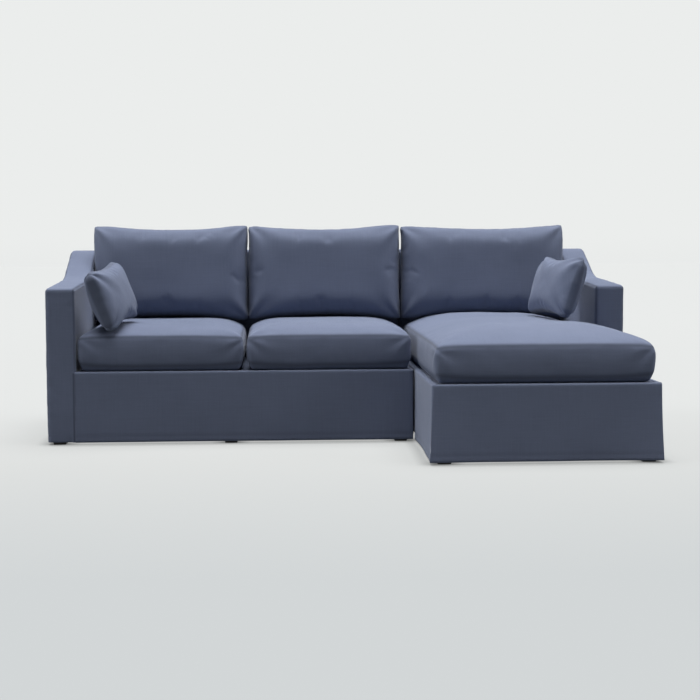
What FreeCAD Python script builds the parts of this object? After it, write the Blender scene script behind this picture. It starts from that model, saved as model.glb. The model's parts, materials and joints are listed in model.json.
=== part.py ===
"""Sectional sofa in two units: a two-seat unit with a left arm and a chaise unit with a right arm.

Millimetres. +X runs along the sofa to the sitter's left, -Y is the front, +Z is up.
The origin is on the floor, under the middle of the whole sofa's box.
"""
import FreeCAD
import Part
import math
import os

from FreeCAD import Vector

# Driving dimensions of the whole sofa
OVERALL_WIDTH = 2400.0
SOFA_DEPTH = 920.0
CHAISE_DEPTH = 1570.0
BACK_HEIGHT = 795.0
ARM_WIDTH = 120.0
ARM_FRONT_HEIGHT = 648.0
DECK_HEIGHT = 302.0
TWO_SEAT_WIDTH = 1515.0
UNIT_GAP = 8.0

# Arm outline seen from the side: two bends between the level front and the level rear
ARM_DIP_FROM_REAR = 382.0
ARM_DIP_HEIGHT = 671.0
ARM_SHOULDER_FROM_REAR = 116.0
ARM_DIP_RADIUS = 400.0
ARM_SHOULDER_RADIUS = 135.0
CORNER_RADIUS = 12.0
ARM_EDGE_RADIUS = 8.0

# Back outline seen from the side
BACK_TOP_THICKNESS = 120.0
BACK_DECK_THICKNESS = 165.0

# Layers from outside to inside
COVER = 3.0
PADDING = 12.0
BOARD = 18.0
RAIL = 25.0
DECK_PAD = 18.0
BAND_THICKNESS = 1.8
BAND_WIDTH = 55.0
SLACK = 0.3

# Height above the floor
HEM_CLEARANCE = 10.0
HEM_FOLD = 30.0
HEM_THICKNESS = 4.5
FOOT_HEIGHT = 60.0
DUST_COVER = 1.0
SKIRT_FLARE = 5.0

# Seat bands
BAND_PITCH_TWO_SEAT = 190.0
BAND_PITCH_CHAISE = 215.0
BAND_ROWS = 3
BACK_BANDS = 4

# Feet, blocks and braces
FOOT_TOP = 70.0
FOOT_BOTTOM = 50.0
FOOT_INSET = 12.0
CORNER_BLOCK = 90.0
CORNER_BLOCK_HEIGHT = 60.0
CENTRE_RAIL_DROP = 35.0
POST_WIDTH = 45.0
BATTEN = 40.0
WINDOW_MARGIN = 95.0
WINDOW_RADIUS = 45.0

# Interlocking brackets between the units
BRACKET_PLATE = 2.5
BRACKET_WIDTH = 50.0
BRACKET_PLACES = (0.3, 0.72)
BRACKET_FLOOR = 120.0
BRACKET_BASE = 95.0
HOOK_LIP = 45.0
HOOK_PLAY = 0.4
HOOK_REST = 5.0
SCREW_SHANK = 2.0
SCREW_HEAD = 4.2
SCREW_LENGTH = 20.0
SCREW_FROM_END = 12.0
SCREW_SIDES = 8
COVER_SLOT_MARGIN = 6.0
LIFT_OFF = 80.0

# Seat cushions
SEAT_SIDE_CLEARANCE = 3.0
SEAT_NEIGHBOUR_GAP = 5.0
SEAT_THICKNESS = 144.0
SEAT_CROWN = 44.0
SEAT_CORNER_RADIUS = 34.0
SEAT_BULGE = 5.0
SEAT_BACK_CLEARANCE = 4.0
SEAT_JOINT_CLEARANCE = 1.0

# Chaise cushion
CHAISE_CUSHION_CROWN = 66.0
CHAISE_CUSHION_INSET = 5.0
CHAISE_EAR_INSET = 25.0
CHAISE_ARM_CLEARANCE = 8.0

# Back cushions
BACK_CUSHION_HEIGHT = 440.0
BACK_CUSHION_BELLY = 96.0
BACK_CUSHION_GAP = 12.0
BACK_CUSHION_LEAN = 9.0
BACK_CUSHION_START = 110.0
KNIFE_EDGE = 3.0
EAR = 12.0
EAR_RADIUS = 16.0

# Chords that a cushion's round corners and bowed sides are made of
CORNER_CHORDS = 3
SIDE_CHORDS = 4

# Side pillows
PILLOW_LENGTH = 380.0
PILLOW_HEIGHT = 265.0
PILLOW_BELLY = 62.0
LEFT_PILLOW_YAW = 13.0
RIGHT_PILLOW_YAW = 14.0
PILLOW_TILT = 19.0
LEFT_PILLOW_FROM_FRONT = -34.0
RIGHT_PILLOW_FROM_FRONT = -50.0
PILLOW_START = 136.0
LEFT_PILLOW_ROLL = 7.0

# Foam and feather cores
CORE_SHARE = 0.62
CORE_MARGIN = 55.0
CORE_ABOVE_BASE = 18.0
CORE_BELOW_SEAM = 9.0

# Faces and lines worked out from the driving dimensions
LEFT = -OVERALL_WIDTH / 2
REAR = CHAISE_DEPTH / 2
FRONT = REAR - SOFA_DEPTH
CHAISE_FRONT = -CHAISE_DEPTH / 2
SPLIT_LEFT = LEFT + TWO_SEAT_WIDTH
SPLIT_RIGHT = SPLIT_LEFT + UNIT_GAP
LINING = COVER + SLACK
FRAME_INSET = LINING + PADDING + SLACK
BAND_STEP = BAND_THICKNESS + SLACK
RAIL_BOTTOM = FOOT_HEIGHT + DUST_COVER
RAIL_TOP = DECK_HEIGHT - LINING - DECK_PAD - SLACK - 2 * BAND_STEP
BACK_LEAN_FACE = BACK_DECK_THICKNESS - BACK_TOP_THICKNESS
HOOK_BRIDGE = BRACKET_FLOOR + HOOK_LIP + HOOK_REST
HOOK_TOP = HOOK_BRIDGE + BRACKET_PLATE

DOWN = Vector(0, 0, -1)
BACKWARD = Vector(0, 1, 0)
SETTLE_STEPS = 30
SETTLED = 0.7
SETTLE_REACH = 70.0
TINY = 1e-4

os.makedirs("parts", exist_ok=True)


def save(name, *solids):
    """Write one node and return it; several loose solids of one kind share a file."""
    shape = solids[0] if len(solids) == 1 else Part.makeCompound(list(solids))
    shape.exportStep("parts/" + name + ".step")
    return shape


def box(x0, x1, y0, y1, z0, z1):
    """Box between two corners, given in any order along X."""
    low, high = min(x0, x1), max(x0, x1)
    return Part.makeBox(high - low, y1 - y0, z1 - z0, Vector(low, y0, z0))


def rounded_wire(corners):
    """Closed wire through (point, radius) corners, each rounded by a tangent arc."""
    rounded = []
    for i, (point, radius) in enumerate(corners):
        before = corners[i - 1][0] - point
        after = corners[(i + 1) % len(corners)][0] - point
        if radius <= 0:
            rounded.append((point, None, point))
            continue
        turn = math.pi - before.getAngle(after)
        cut = radius * math.tan(turn / 2)
        inward = (before.normalize() + after.normalize()).normalize()
        reach = radius / math.cos(turn / 2) - radius
        rounded.append((point + before * cut, point + inward * reach, point + after * cut))
    edges = []
    for i, (start, middle, end) in enumerate(rounded):
        if middle is not None:
            edges.append(Part.Arc(start, middle, end).toShape())
        following = rounded[(i + 1) % len(rounded)][0]
        if (following - end).Length > TINY:
            edges.append(Part.makeLine(end, following))
    return Part.Wire(edges)


def side_prism(x0, x1, corners):
    """Extrude an outline of (y, z, radius) corners along X between two planes."""
    low, high = min(x0, x1), max(x0, x1)
    wire = rounded_wire([(Vector(low, y, z), radius) for y, z, radius in corners])
    return Part.Face(wire).extrude(Vector(high - low, 0, 0))


def shrunk(radius, inset):
    """Corner radius of a layer that lies further in; it never becomes negative."""
    return max(radius - inset, 0)


# Outlines seen from the side

def arm_outline(inset, bottom):
    """The sloping arm, moved in by an inset on the front, top and rear."""
    corner = shrunk(CORNER_RADIUS, inset)
    return [
        (FRONT + inset, bottom, 0),
        (FRONT + inset, ARM_FRONT_HEIGHT - inset, corner),
        (REAR - ARM_DIP_FROM_REAR, ARM_DIP_HEIGHT - inset, ARM_DIP_RADIUS),
        (REAR - ARM_SHOULDER_FROM_REAR, BACK_HEIGHT - inset, ARM_SHOULDER_RADIUS),
        (REAR - inset, BACK_HEIGHT - inset, corner),
        (REAR - inset, bottom, 0),
    ]


def back_face_at(z, inset=0.0):
    """Y of the leaning front face of the back at a height."""
    share = (z - DECK_HEIGHT) / (BACK_HEIGHT - DECK_HEIGHT)
    return REAR - BACK_DECK_THICKNESS + BACK_LEAN_FACE * share + inset


def back_outline(inset, foot, bottom):
    """The back from its foot at the deck up and over, then down the outside."""
    top = BACK_HEIGHT - inset
    corner = shrunk(CORNER_RADIUS, inset)
    return [
        (back_face_at(foot, inset), foot, 0),
        (back_face_at(top, inset), top, corner),
        (REAR - inset, top, corner),
        (REAR - inset, bottom, 0),
        (back_face_at(foot, inset), bottom, 0),
    ]


class Unit:
    """One half of the sectional: its outer faces, where its arm is and where it joins on."""

    def __init__(self, name, arm_side, joint_face, base_front):
        self.name = name
        self.side = arm_side
        self.outer = arm_side * OVERALL_WIDTH / 2
        self.arm_inner = self.outer - arm_side * ARM_WIDTH
        self.joint_face = joint_face
        self.base_front = base_front
        # The rail under the arm lies against the arm's inner board
        self.arm_rail_outer = self.arm_inner + arm_side * FRAME_INSET
        self.arm_rail_inner = self.arm_rail_outer - arm_side * RAIL
        self.joint_rail_outer = joint_face + arm_side * LINING
        self.joint_rail_inner = self.joint_rail_outer + arm_side * RAIL
        self.reaches_past_arm = base_front < FRONT
        # A base in front of the arm stands back, so that its skirt can swing out to the corners
        self.flare = SKIRT_FLARE if self.reaches_past_arm else 0.0
        self.rail_front = base_front + self.flare + LINING
        self.rail_rear = REAR - FRAME_INSET


two_seat = Unit("two_seat", -1, SPLIT_LEFT, FRONT)
chaise = Unit("chaise", 1, SPLIT_RIGHT, CHAISE_FRONT)


# Wooden base

def base_rails(unit):
    """Front and rear rails between the side rails, and the side rails themselves."""
    inner_rear = unit.rail_rear - RAIL
    inner_front = unit.rail_front + RAIL
    front_end = unit.arm_inner + unit.side * COVER
    if unit.reaches_past_arm:
        front_end = unit.outer - unit.side * (LINING + unit.flare)
    front = box(unit.joint_rail_outer, front_end, unit.rail_front, inner_front,
                RAIL_BOTTOM, RAIL_TOP)
    rear = box(unit.joint_rail_outer, unit.arm_rail_outer, inner_rear, unit.rail_rear,
               RAIL_BOTTOM, RAIL_TOP)
    sides = [
        box(unit.joint_rail_outer, unit.joint_rail_inner, inner_front, inner_rear,
            RAIL_BOTTOM, RAIL_TOP),
        box(unit.arm_rail_outer, unit.arm_rail_inner, inner_front, inner_rear,
            RAIL_BOTTOM, RAIL_TOP),
    ]
    if unit.reaches_past_arm:
        sides.append(box(front_end, front_end - unit.side * RAIL, inner_front,
                         FRONT + FRAME_INSET, RAIL_BOTTOM, RAIL_TOP))
        sides.append(box(front_end - unit.side * RAIL, unit.arm_rail_outer,
                         FRONT + FRAME_INSET - RAIL, FRONT + FRAME_INSET,
                         RAIL_BOTTOM, RAIL_TOP))
    # A low rail down the middle carries the sitter's weight across the span
    middle = (unit.joint_rail_inner + unit.arm_rail_inner) / 2
    sides.append(box(middle - RAIL / 2, middle + RAIL / 2, inner_front, inner_rear,
                     RAIL_BOTTOM, RAIL_TOP - CENTRE_RAIL_DROP))
    for fastener in bracket_screws(unit):
        sides[0] = sides[0].cut(fastener)
    save(unit.name + "_front_rail", front)
    save(unit.name + "_rear_rail", rear)
    save(unit.name + "_side_rails", *sides)


def corner_block(x, y, toward_x, toward_y):
    """Triangular glue block in one inner corner, under the seat bands."""
    z = RAIL_TOP - CORNER_BLOCK_HEIGHT - CENTRE_RAIL_DROP
    points = [Vector(x, y, z), Vector(x + toward_x * CORNER_BLOCK, y, z),
              Vector(x, y + toward_y * CORNER_BLOCK, z), Vector(x, y, z)]
    return Part.Face(Part.makePolygon(points)).extrude(Vector(0, 0, CORNER_BLOCK_HEIGHT))


def corner_blocks(unit):
    front = unit.rail_front + RAIL
    rear = unit.rail_rear - RAIL
    blocks = []
    for x, toward_x in ((unit.joint_rail_inner, unit.side), (unit.arm_rail_inner, -unit.side)):
        blocks.append(corner_block(x, front, toward_x, 1))
        blocks.append(corner_block(x, rear, toward_x, -1))
    save(unit.name + "_corner_blocks", *blocks)


def foot(x, y):
    """Square foot that tapers to the floor."""
    top, inset = FOOT_TOP, (FOOT_TOP - FOOT_BOTTOM) / 2
    wedge = Part.makeWedge(inset, 0, inset, 0, 0,
                           top - inset, FOOT_HEIGHT, top - inset, top, top)
    wedge.rotate(Vector(0, 0, 0), Vector(1, 0, 0), 90)
    wedge.translate(Vector(x - top / 2, y + top / 2, 0))
    return wedge


def foot_lines(unit):
    """X of the three rows of feet and Y of the rows from front to rear."""
    reach = FOOT_TOP / 2 + FOOT_INSET
    ends = [unit.joint_rail_outer + unit.side * reach, unit.outer - unit.side * reach]
    rows = [unit.rail_front + reach, unit.rail_rear - reach]
    if unit.reaches_past_arm:
        rows.insert(1, FRONT + reach)
    else:
        ends.insert(1, sum(ends) / 2)
    return ends, rows


def feet(unit):
    columns, rows = foot_lines(unit)
    save(unit.name + "_feet", *[foot(x, y) for x in columns for y in rows])


def dust_cover(unit):
    """Black cloth stapled under the rails; the feet are screwed on through it."""
    inner = box(unit.joint_rail_outer, unit.arm_rail_outer, unit.rail_front, unit.rail_rear,
                FOOT_HEIGHT, RAIL_BOTTOM)
    arm_part = box(unit.arm_rail_outer, unit.outer - unit.side * FRAME_INSET,
                   FRONT + FRAME_INSET, unit.rail_rear, FOOT_HEIGHT, RAIL_BOTTOM)
    cloth = inner.fuse(arm_part)
    if unit.reaches_past_arm:
        cloth = cloth.fuse(box(unit.arm_rail_outer, unit.outer - unit.side * (LINING + unit.flare),
                               unit.rail_front, FRONT + FRAME_INSET, FOOT_HEIGHT, RAIL_BOTTOM))
    save(unit.name + "_dust_cover", cloth.removeSplitter())


# Elastic bands, woven over and under each other

def woven_band(start, end, crossings, first_over):
    """One band from start to end along an axis that passes over and under the others."""
    half = BAND_WIDTH / 2 + 2 * BAND_STEP
    lower = [(start, 0.0)]
    over = first_over
    for crossing in crossings:
        lift = BAND_STEP if over else 0.0
        lower.append((crossing - half, lift))
        lower.append((crossing + half, lift))
        over = not over
    lower.append((end, 0.0))
    upper = [(along, lift + BAND_THICKNESS) for along, lift in reversed(lower)]
    return lower + upper + [lower[0]]


def evenly(start, end, count):
    """Centres of a number of bands spread evenly between two ends."""
    step = (end - start) / count
    return [start + step * (i + 0.5) for i in range(count)]


def seat_webbing(unit, pitch):
    """Bands from rail to rail both ways, one layer thick outside the crossings."""
    x0 = min(unit.joint_rail_outer, unit.arm_rail_outer)
    x1 = max(unit.joint_rail_outer, unit.arm_rail_outer)
    y0, y1 = unit.rail_front, unit.rail_rear
    clear_y1 = back_face_at(DECK_HEIGHT) - SLACK
    wide = x1 - x0 > clear_y1 - y0
    columns = round((x1 - x0 - 2 * RAIL) / pitch) if wide else BAND_ROWS
    rows = BAND_ROWS if wide else round((clear_y1 - y0 - 2 * RAIL) / pitch)
    column_x = evenly(x0 + RAIL, x1 - RAIL, columns)
    row_y = evenly(y0 + RAIL, clear_y1, rows)
    bands = []
    for i, x in enumerate(column_x):
        outline = woven_band(y0, y1 - RAIL, row_y, i % 2 == 0)
        points = [Vector(x - BAND_WIDTH / 2, along, RAIL_TOP + z) for along, z in outline]
        bands.append(Part.Face(Part.makePolygon(points)).extrude(Vector(BAND_WIDTH, 0, 0)))
    for i, y in enumerate(row_y):
        outline = woven_band(x0, x1, column_x, i % 2 == 1)
        points = [Vector(along, y - BAND_WIDTH / 2, RAIL_TOP + z) for along, z in outline]
        bands.append(Part.Face(Part.makePolygon(points)).extrude(Vector(0, BAND_WIDTH, 0)))
    save(unit.name + "_seat_webbing", *bands)


# Deck under the seat cushions

def deck_slab(unit, inset, z0, z1):
    """Slab over the base, inside the arm, and out to the full width in front of it."""
    front = unit.base_front + unit.flare + inset
    slab = box(unit.joint_face + unit.side * inset, unit.arm_inner,
               front, back_face_at(DECK_HEIGHT) - SLACK, z0, z1)
    if unit.reaches_past_arm:
        slab = slab.fuse(box(unit.arm_inner, unit.outer - unit.side * (inset + unit.flare),
                             front, FRONT - SLACK, z0, z1))
        slab = slab.removeSplitter()
    return slab


def deck(unit):
    top_of_pad = DECK_HEIGHT - LINING
    save(unit.name + "_deck_pad", deck_slab(unit, LINING, top_of_pad - DECK_PAD, top_of_pad))
    save(unit.name + "_deck_cover", deck_slab(unit, 0.0, DECK_HEIGHT - COVER, DECK_HEIGHT))


# Arms

def arm_block(unit, inset, bottom):
    """The whole arm as a solid, moved in by an inset on every side but the bottom."""
    return side_prism(unit.outer - unit.side * inset, unit.arm_inner + unit.side * inset,
                      arm_outline(inset, bottom))


def softened(block, unit):
    """Round the long edges of the arm along both of its side faces."""
    edges = []
    for edge in block.Edges:
        bounds = edge.BoundBox
        in_side_face = min(abs(bounds.XMin - x) + abs(bounds.XMax - x)
                           for x in (unit.outer, unit.arm_inner)) < TINY
        if in_side_face and bounds.ZMax > FOOT_HEIGHT:
            edges.append(edge)
    return block.makeFillet(ARM_EDGE_RADIUS, edges)


def arm_shell(unit, inset, wall, bottom):
    """Layer round the arm, open below, and open inside under the deck and behind the back."""
    shell = arm_block(unit, inset, bottom)
    if inset == 0:
        shell = softened(shell, unit)
    shell = shell.cut(arm_block(unit, inset + wall, bottom - wall))
    reach = unit.side * (inset + wall)
    shell = shell.cut(box(unit.arm_inner - unit.side, unit.arm_inner + reach,
                          FRONT + inset + wall, REAR - inset - wall, bottom - wall, DECK_HEIGHT))
    opening = side_prism(unit.arm_inner - unit.side, unit.arm_inner + reach,
                         back_outline(inset, DECK_HEIGHT, bottom - wall))
    shell = shell.cut(opening)
    if unit.reaches_past_arm:
        # The base runs on in front of this arm, so its front face ends at the deck
        outer_wall = wall if inset == 0 else 0.0
        shell = shell.cut(box(unit.outer - unit.side * (inset + outer_wall),
                              unit.arm_inner - unit.side, FRONT - wall, FRONT + FRAME_INSET,
                              bottom - wall, DECK_HEIGHT))
    return shell


def arm_boards(unit):
    """Two profile boards with a window each, cut from sheet."""
    boards = []
    for face, way in ((unit.outer - unit.side * FRAME_INSET, -unit.side),
                      (unit.arm_inner + unit.side * FRAME_INSET, unit.side)):
        board = side_prism(face, face + way * BOARD, arm_outline(FRAME_INSET, RAIL_BOTTOM))
        window = side_prism(face - 1, face + way * BOARD + way, [
            (FRONT + FRAME_INSET + WINDOW_MARGIN, RAIL_TOP + BATTEN, WINDOW_RADIUS),
            (FRONT + FRAME_INSET + WINDOW_MARGIN, ARM_FRONT_HEIGHT - WINDOW_MARGIN, WINDOW_RADIUS),
            (REAR - BACK_DECK_THICKNESS - BATTEN, ARM_FRONT_HEIGHT - WINDOW_MARGIN, WINDOW_RADIUS),
            (REAR - BACK_DECK_THICKNESS - BATTEN, RAIL_TOP + BATTEN, WINDOW_RADIUS),
        ])
        boards.append(board.cut(window))
    save(unit.name + "_arm_boards", *boards)


def arm_battens(unit):
    """Posts and battens that hold the two arm boards apart."""
    x0 = unit.outer - unit.side * (FRAME_INSET + BOARD)
    x1 = unit.arm_inner + unit.side * (FRAME_INSET + BOARD)
    front = FRONT + FRAME_INSET
    rear = REAR - FRAME_INSET
    top = ARM_FRONT_HEIGHT - FRAME_INSET - CORNER_RADIUS
    battens = [
        box(x0, x1, front, front + BATTEN, RAIL_BOTTOM, top),
        box(x0, x1, rear - BATTEN, rear, RAIL_BOTTOM, BACK_HEIGHT - FRAME_INSET - CORNER_RADIUS),
        box(x0, x1, front + BATTEN, rear - BATTEN, RAIL_BOTTOM, RAIL_BOTTOM + RAIL),
        box(x0, x1, front + BATTEN, REAR - ARM_DIP_FROM_REAR, top - RAIL, top),
    ]
    save(unit.name + "_arm_battens", *battens)


def arm(unit):
    """Save the arm's layers and return its cover."""
    arm_boards(unit)
    arm_battens(unit)
    save(unit.name + "_arm_padding", arm_shell(unit, LINING, PADDING, RAIL_BOTTOM))
    return save(unit.name + "_arm_cover", arm_shell(unit, 0.0, COVER, HEM_CLEARANCE))


# Back

def back_frame(unit):
    """Leaning posts on the base with a top rail behind them."""
    front_inset = FRAME_INSET + BAND_STEP
    rear = REAR - FRAME_INSET - RAIL
    top = BACK_HEIGHT - FRAME_INSET - BAND_STEP
    x_ends = sorted((unit.joint_rail_outer, unit.arm_inner + unit.side * FRAME_INSET))
    count = 2 if unit.reaches_past_arm else 3
    posts = []
    for i in range(count):
        x = x_ends[0] + (x_ends[1] - x_ends[0] - POST_WIDTH) * i / (count - 1)
        post = side_prism(x, x + POST_WIDTH, [
            (back_face_at(RAIL_TOP + 2 * BAND_STEP, front_inset), RAIL_TOP + 2 * BAND_STEP, 0),
            (back_face_at(top, front_inset), top, 0),
            (rear, top, 0),
            (rear, RAIL_TOP + 2 * BAND_STEP, 0),
        ])
        posts.append(post)
    save(unit.name + "_back_posts", *posts)
    save(unit.name + "_back_rails",
         box(x_ends[0], x_ends[1], rear, rear + RAIL, top - 2 * BATTEN, top),
         box(x_ends[0], x_ends[1], rear, rear + RAIL, RAIL_TOP + BAND_STEP, RAIL_TOP + 2 * BATTEN))
    bands = []
    for z in evenly(DECK_HEIGHT + BATTEN / 2, top, BACK_BANDS):
        low, high = z - BAND_WIDTH / 2, z + BAND_WIDTH / 2
        bands.append(side_prism(x_ends[0], x_ends[1], [
            (back_face_at(low, FRAME_INSET), low, 0),
            (back_face_at(high, FRAME_INSET), high, 0),
            (back_face_at(high, FRAME_INSET + BAND_THICKNESS), high, 0),
            (back_face_at(low, FRAME_INSET + BAND_THICKNESS), low, 0),
        ]))
    save(unit.name + "_back_webbing", *bands)


def back_shell(unit, inset, wall, bottom, closed_end):
    """Layer over the back: front face, top and outside, closed at the joint end if a cover."""
    start = unit.joint_face + unit.side * inset
    end = unit.arm_inner
    block = side_prism(start, end, back_outline(inset, DECK_HEIGHT, bottom))
    hollow_start = start + unit.side * wall if closed_end else start - unit.side
    hollow = side_prism(hollow_start, end + unit.side,
                        back_outline(inset + wall, DECK_HEIGHT, bottom - wall))
    below = box(hollow_start, end + unit.side, back_face_at(DECK_HEIGHT) - wall,
                REAR - inset - wall, bottom - wall, DECK_HEIGHT)
    return block.cut(hollow).cut(below)


def back(unit):
    """Save the back's layers and return its cover."""
    back_frame(unit)
    save(unit.name + "_back_padding", back_shell(unit, LINING, PADDING, RAIL_BOTTOM, False))
    return save(unit.name + "_back_cover", back_shell(unit, 0.0, COVER, HEM_CLEARANCE, True))


# Skirt round the base

def skirt_panel(start, end, inward, top, bottom, flare):
    """Hanging cloth from start to end; its lower corners swing out and its hem is folded."""
    wires = []
    hem_top = bottom + HEM_FOLD
    levels = ((top, COVER), (hem_top + HEM_THICKNESS - COVER, COVER),
              (hem_top, HEM_THICKNESS), (bottom, HEM_THICKNESS))
    middle = (start + end) * 0.5
    for z, thickness in levels:
        rise = Vector(0, 0, z)
        swing = inward * (-flare * (top - z) / (top - bottom))
        outside = [start + swing + rise, middle + rise, end + swing + rise]
        inside = [point + inward * thickness for point in reversed(outside)]
        if swing.Length > 0:
            long_edges = [Part.Arc(*side).toShape() for side in (outside, inside)]
        else:
            long_edges = [Part.makeLine(side[0], side[2]) for side in (outside, inside)]
        wires.append(Part.Wire([long_edges[0], Part.makeLine(outside[2], inside[0]),
                                long_edges[1], Part.makeLine(inside[2], outside[0])]))
    return Part.makeLoft(wires, True, True)


def bracket_middles():
    return [FRONT + SOFA_DEPTH * share for share in BRACKET_PLACES]


def bracket_slots(unit):
    """Openings in the joint-side cover for the brackets, high enough to lift the hooks off."""
    slots = []
    for y in bracket_middles():
        slots.append(box(unit.joint_face - unit.side, unit.joint_face + unit.side * 2 * LINING,
                         y - BRACKET_WIDTH / 2 - COVER_SLOT_MARGIN,
                         y + BRACKET_WIDTH / 2 + COVER_SLOT_MARGIN,
                         BRACKET_FLOOR - 2 * COVER_SLOT_MARGIN - HOOK_LIP,
                         HOOK_TOP + LIFT_OFF + COVER_SLOT_MARGIN))
    return slots


def skirt(unit):
    """Front panel, the panel on the joint side and, on the chaise, the panel under the arm."""
    top = DECK_HEIGHT - COVER
    front_line = unit.base_front + unit.flare
    far_end = unit.outer - unit.side * unit.flare if unit.reaches_past_arm else unit.arm_inner
    ends = sorted((unit.joint_face, far_end))
    panels = [skirt_panel(Vector(ends[0], front_line, 0), Vector(ends[1], front_line, 0),
                          Vector(0, 1, 0), top, HEM_CLEARANCE, unit.flare)]
    behind = front_line + HEM_THICKNESS + SLACK
    flat_from = FRONT + SLACK if unit.reaches_past_arm else behind
    joint_panel = box(unit.joint_face, unit.joint_face + unit.side * COVER,
                      flat_from, back_face_at(DECK_HEIGHT), FOOT_HEIGHT, top)
    for slot in bracket_slots(unit):
        joint_panel = joint_panel.cut(slot)
    panels.append(joint_panel)
    if unit.reaches_past_arm:
        for x, inward in ((unit.joint_face, unit.side), (far_end, -unit.side)):
            panels.append(skirt_panel(Vector(x, behind, 0), Vector(x, FRONT, 0),
                                      Vector(inward, 0, 0), top, HEM_CLEARANCE, unit.flare))
    save(unit.name + "_skirt", *panels)


# Brackets

def bracket_outline(unit):
    """J-shaped hook seen along Y, as (x, z) points, and the height of its screws.

    The two-seat unit's lip points up. The chaise unit's lip comes down behind it.
    """
    face = unit.joint_rail_outer
    way = -unit.side
    plate = way * BRACKET_PLATE
    if unit is two_seat:
        lip = face + 2 * plate + way * 2 * HOOK_PLAY
        z0 = BRACKET_FLOOR
        points = [(face, z0), (face, z0 + BRACKET_BASE), (face + plate, z0 + BRACKET_BASE),
                  (face + plate, z0 + BRACKET_PLATE), (lip, z0 + BRACKET_PLATE),
                  (lip, z0 + HOOK_LIP), (lip + plate, z0 + HOOK_LIP), (lip + plate, z0)]
        return points, z0 + BRACKET_BASE - SCREW_FROM_END
    foot_of_base = HOOK_TOP - BRACKET_BASE
    lip = two_seat.joint_rail_outer + BRACKET_PLATE + HOOK_PLAY
    points = [(face, foot_of_base), (face, HOOK_TOP), (lip, HOOK_TOP),
              (lip, HOOK_BRIDGE - HOOK_LIP), (lip - plate, HOOK_BRIDGE - HOOK_LIP),
              (lip - plate, HOOK_BRIDGE), (face + plate, HOOK_BRIDGE),
              (face + plate, foot_of_base)]
    return points, foot_of_base + SCREW_FROM_END


def screw(x, y, z, way):
    """Countersunk wood screw whose head is flush with the bracket."""
    stations = ((0, SCREW_HEAD), (BRACKET_PLATE, SCREW_SHANK), (SCREW_LENGTH, SCREW_SHANK))
    outline = [Vector(math.cos(turn), math.sin(turn), 0)
               for turn in (2 * math.pi * i / SCREW_SIDES for i in range(SCREW_SIDES))]
    body = ring_solid(outline, Vector(0, 0, 0), [(radius, depth) for depth, radius in stations])
    body.rotate(Vector(0, 0, 0), Vector(0, 1, 0), 90 * way)
    body.translate(Vector(x, y, z))
    return body


def bracket_screws(unit):
    """Two screws through each bracket into the joint-side rail."""
    z = bracket_outline(unit)[1]
    head = unit.joint_rail_outer - unit.side * BRACKET_PLATE
    return [screw(head, y + offset, z, unit.side) for y in bracket_middles()
            for offset in (-BRACKET_WIDTH / 4, BRACKET_WIDTH / 4)]


def brackets(unit):
    """Two hooks on the joint-side rail and their screws."""
    outline = bracket_outline(unit)[0]
    screws = bracket_screws(unit)
    hooks = []
    for y in bracket_middles():
        points = [Vector(x, y - BRACKET_WIDTH / 2, z) for x, z in outline + outline[:1]]
        hook = Part.Face(Part.makePolygon(points)).extrude(Vector(0, BRACKET_WIDTH, 0))
        for fastener in screws:
            hook = hook.cut(fastener)
        hooks.append(hook)
    save(unit.name + "_brackets", *hooks)
    save(unit.name + "_bracket_screws", *screws)


# Cushions, each a stack of rings: one outline scaled about its centre and raised level by level

BOXED_LEVELS = (
    (0.955, 0.0, 0.0), (0.988, 0.16, 0.0), (1.0, 0.55, 0.0), (0.99, 1.0, 0.0),
    (0.955, 1.0, 0.34), (0.87, 1.0, 0.67), (0.72, 1.0, 0.88), (0.42, 1.0, 1.0),
)
KNIFE_LEVELS = (
    (1.0, 0.0), (0.975, 0.24), (0.91, 0.50), (0.78, 0.76), (0.58, 0.94), (0.32, 1.0),
)


def arc_chords(start, middle, end, count):
    """Points from start up to, and without, end along the arc through three points."""
    curve = Part.Arc(start, middle, end).toShape()
    return curve.discretize(count + 1)[:-1]


def bowed_outline(corners, bow, radius):
    """Closed outline as points: a shallow arc for each side and a small arc at each corner."""
    pieces = []
    for i, corner in enumerate(corners):
        before = (corners[i - 1] - corner).normalize()
        after = (corners[(i + 1) % len(corners)] - corner).normalize()
        bend = (before + after) * radius * (1 - math.sqrt(0.5))
        pieces.append((corner + before * radius, corner + bend, corner + after * radius))
    points = []
    for i, (start, middle, end) in enumerate(pieces):
        points += arc_chords(start, middle, end, CORNER_CHORDS)
        following = pieces[(i + 1) % len(pieces)][0]
        side = (following - end).normalize()
        outward = Vector(side.y, -side.x, 0)
        points += arc_chords(end, (end + following) * 0.5 + outward * bow, following, SIDE_CHORDS)
    return points


def ring_solid(outline, centre, rings):
    """Solid through scaled copies of one outline at (scale, height) rings.

    Scaling about one centre keeps each side parallel to the one above, so every facet is flat.
    """
    levels = [[centre + (point - centre) * scale + Vector(0, 0, height) for point in outline]
              for scale, height in rings]
    faces = [Part.Face(Part.makePolygon(ring + ring[:1])) for ring in (levels[0], levels[-1])]
    for lower, upper in zip(levels, levels[1:]):
        for i in range(len(outline)):
            j = (i + 1) % len(outline)
            quad = [lower[i], lower[j], upper[j], upper[i], lower[i]]
            faces.append(Part.Face(Part.makePolygon(quad)))
    solid = Part.makeSolid(Part.makeShell(faces))
    if solid.Volume < 0:
        solid.reverse()
    return solid


def boxed_cushion(corners, centre, crown):
    """Cushion with a boxing band between two seams and a crowned top."""
    base = DECK_HEIGHT + SLACK
    outline = bowed_outline(corners, SEAT_BULGE, SEAT_CORNER_RADIUS)
    rings = [(scale, base + SEAT_THICKNESS * band + crown * rise)
             for scale, band, rise in BOXED_LEVELS]
    return ring_solid(outline, centre, rings)


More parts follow.
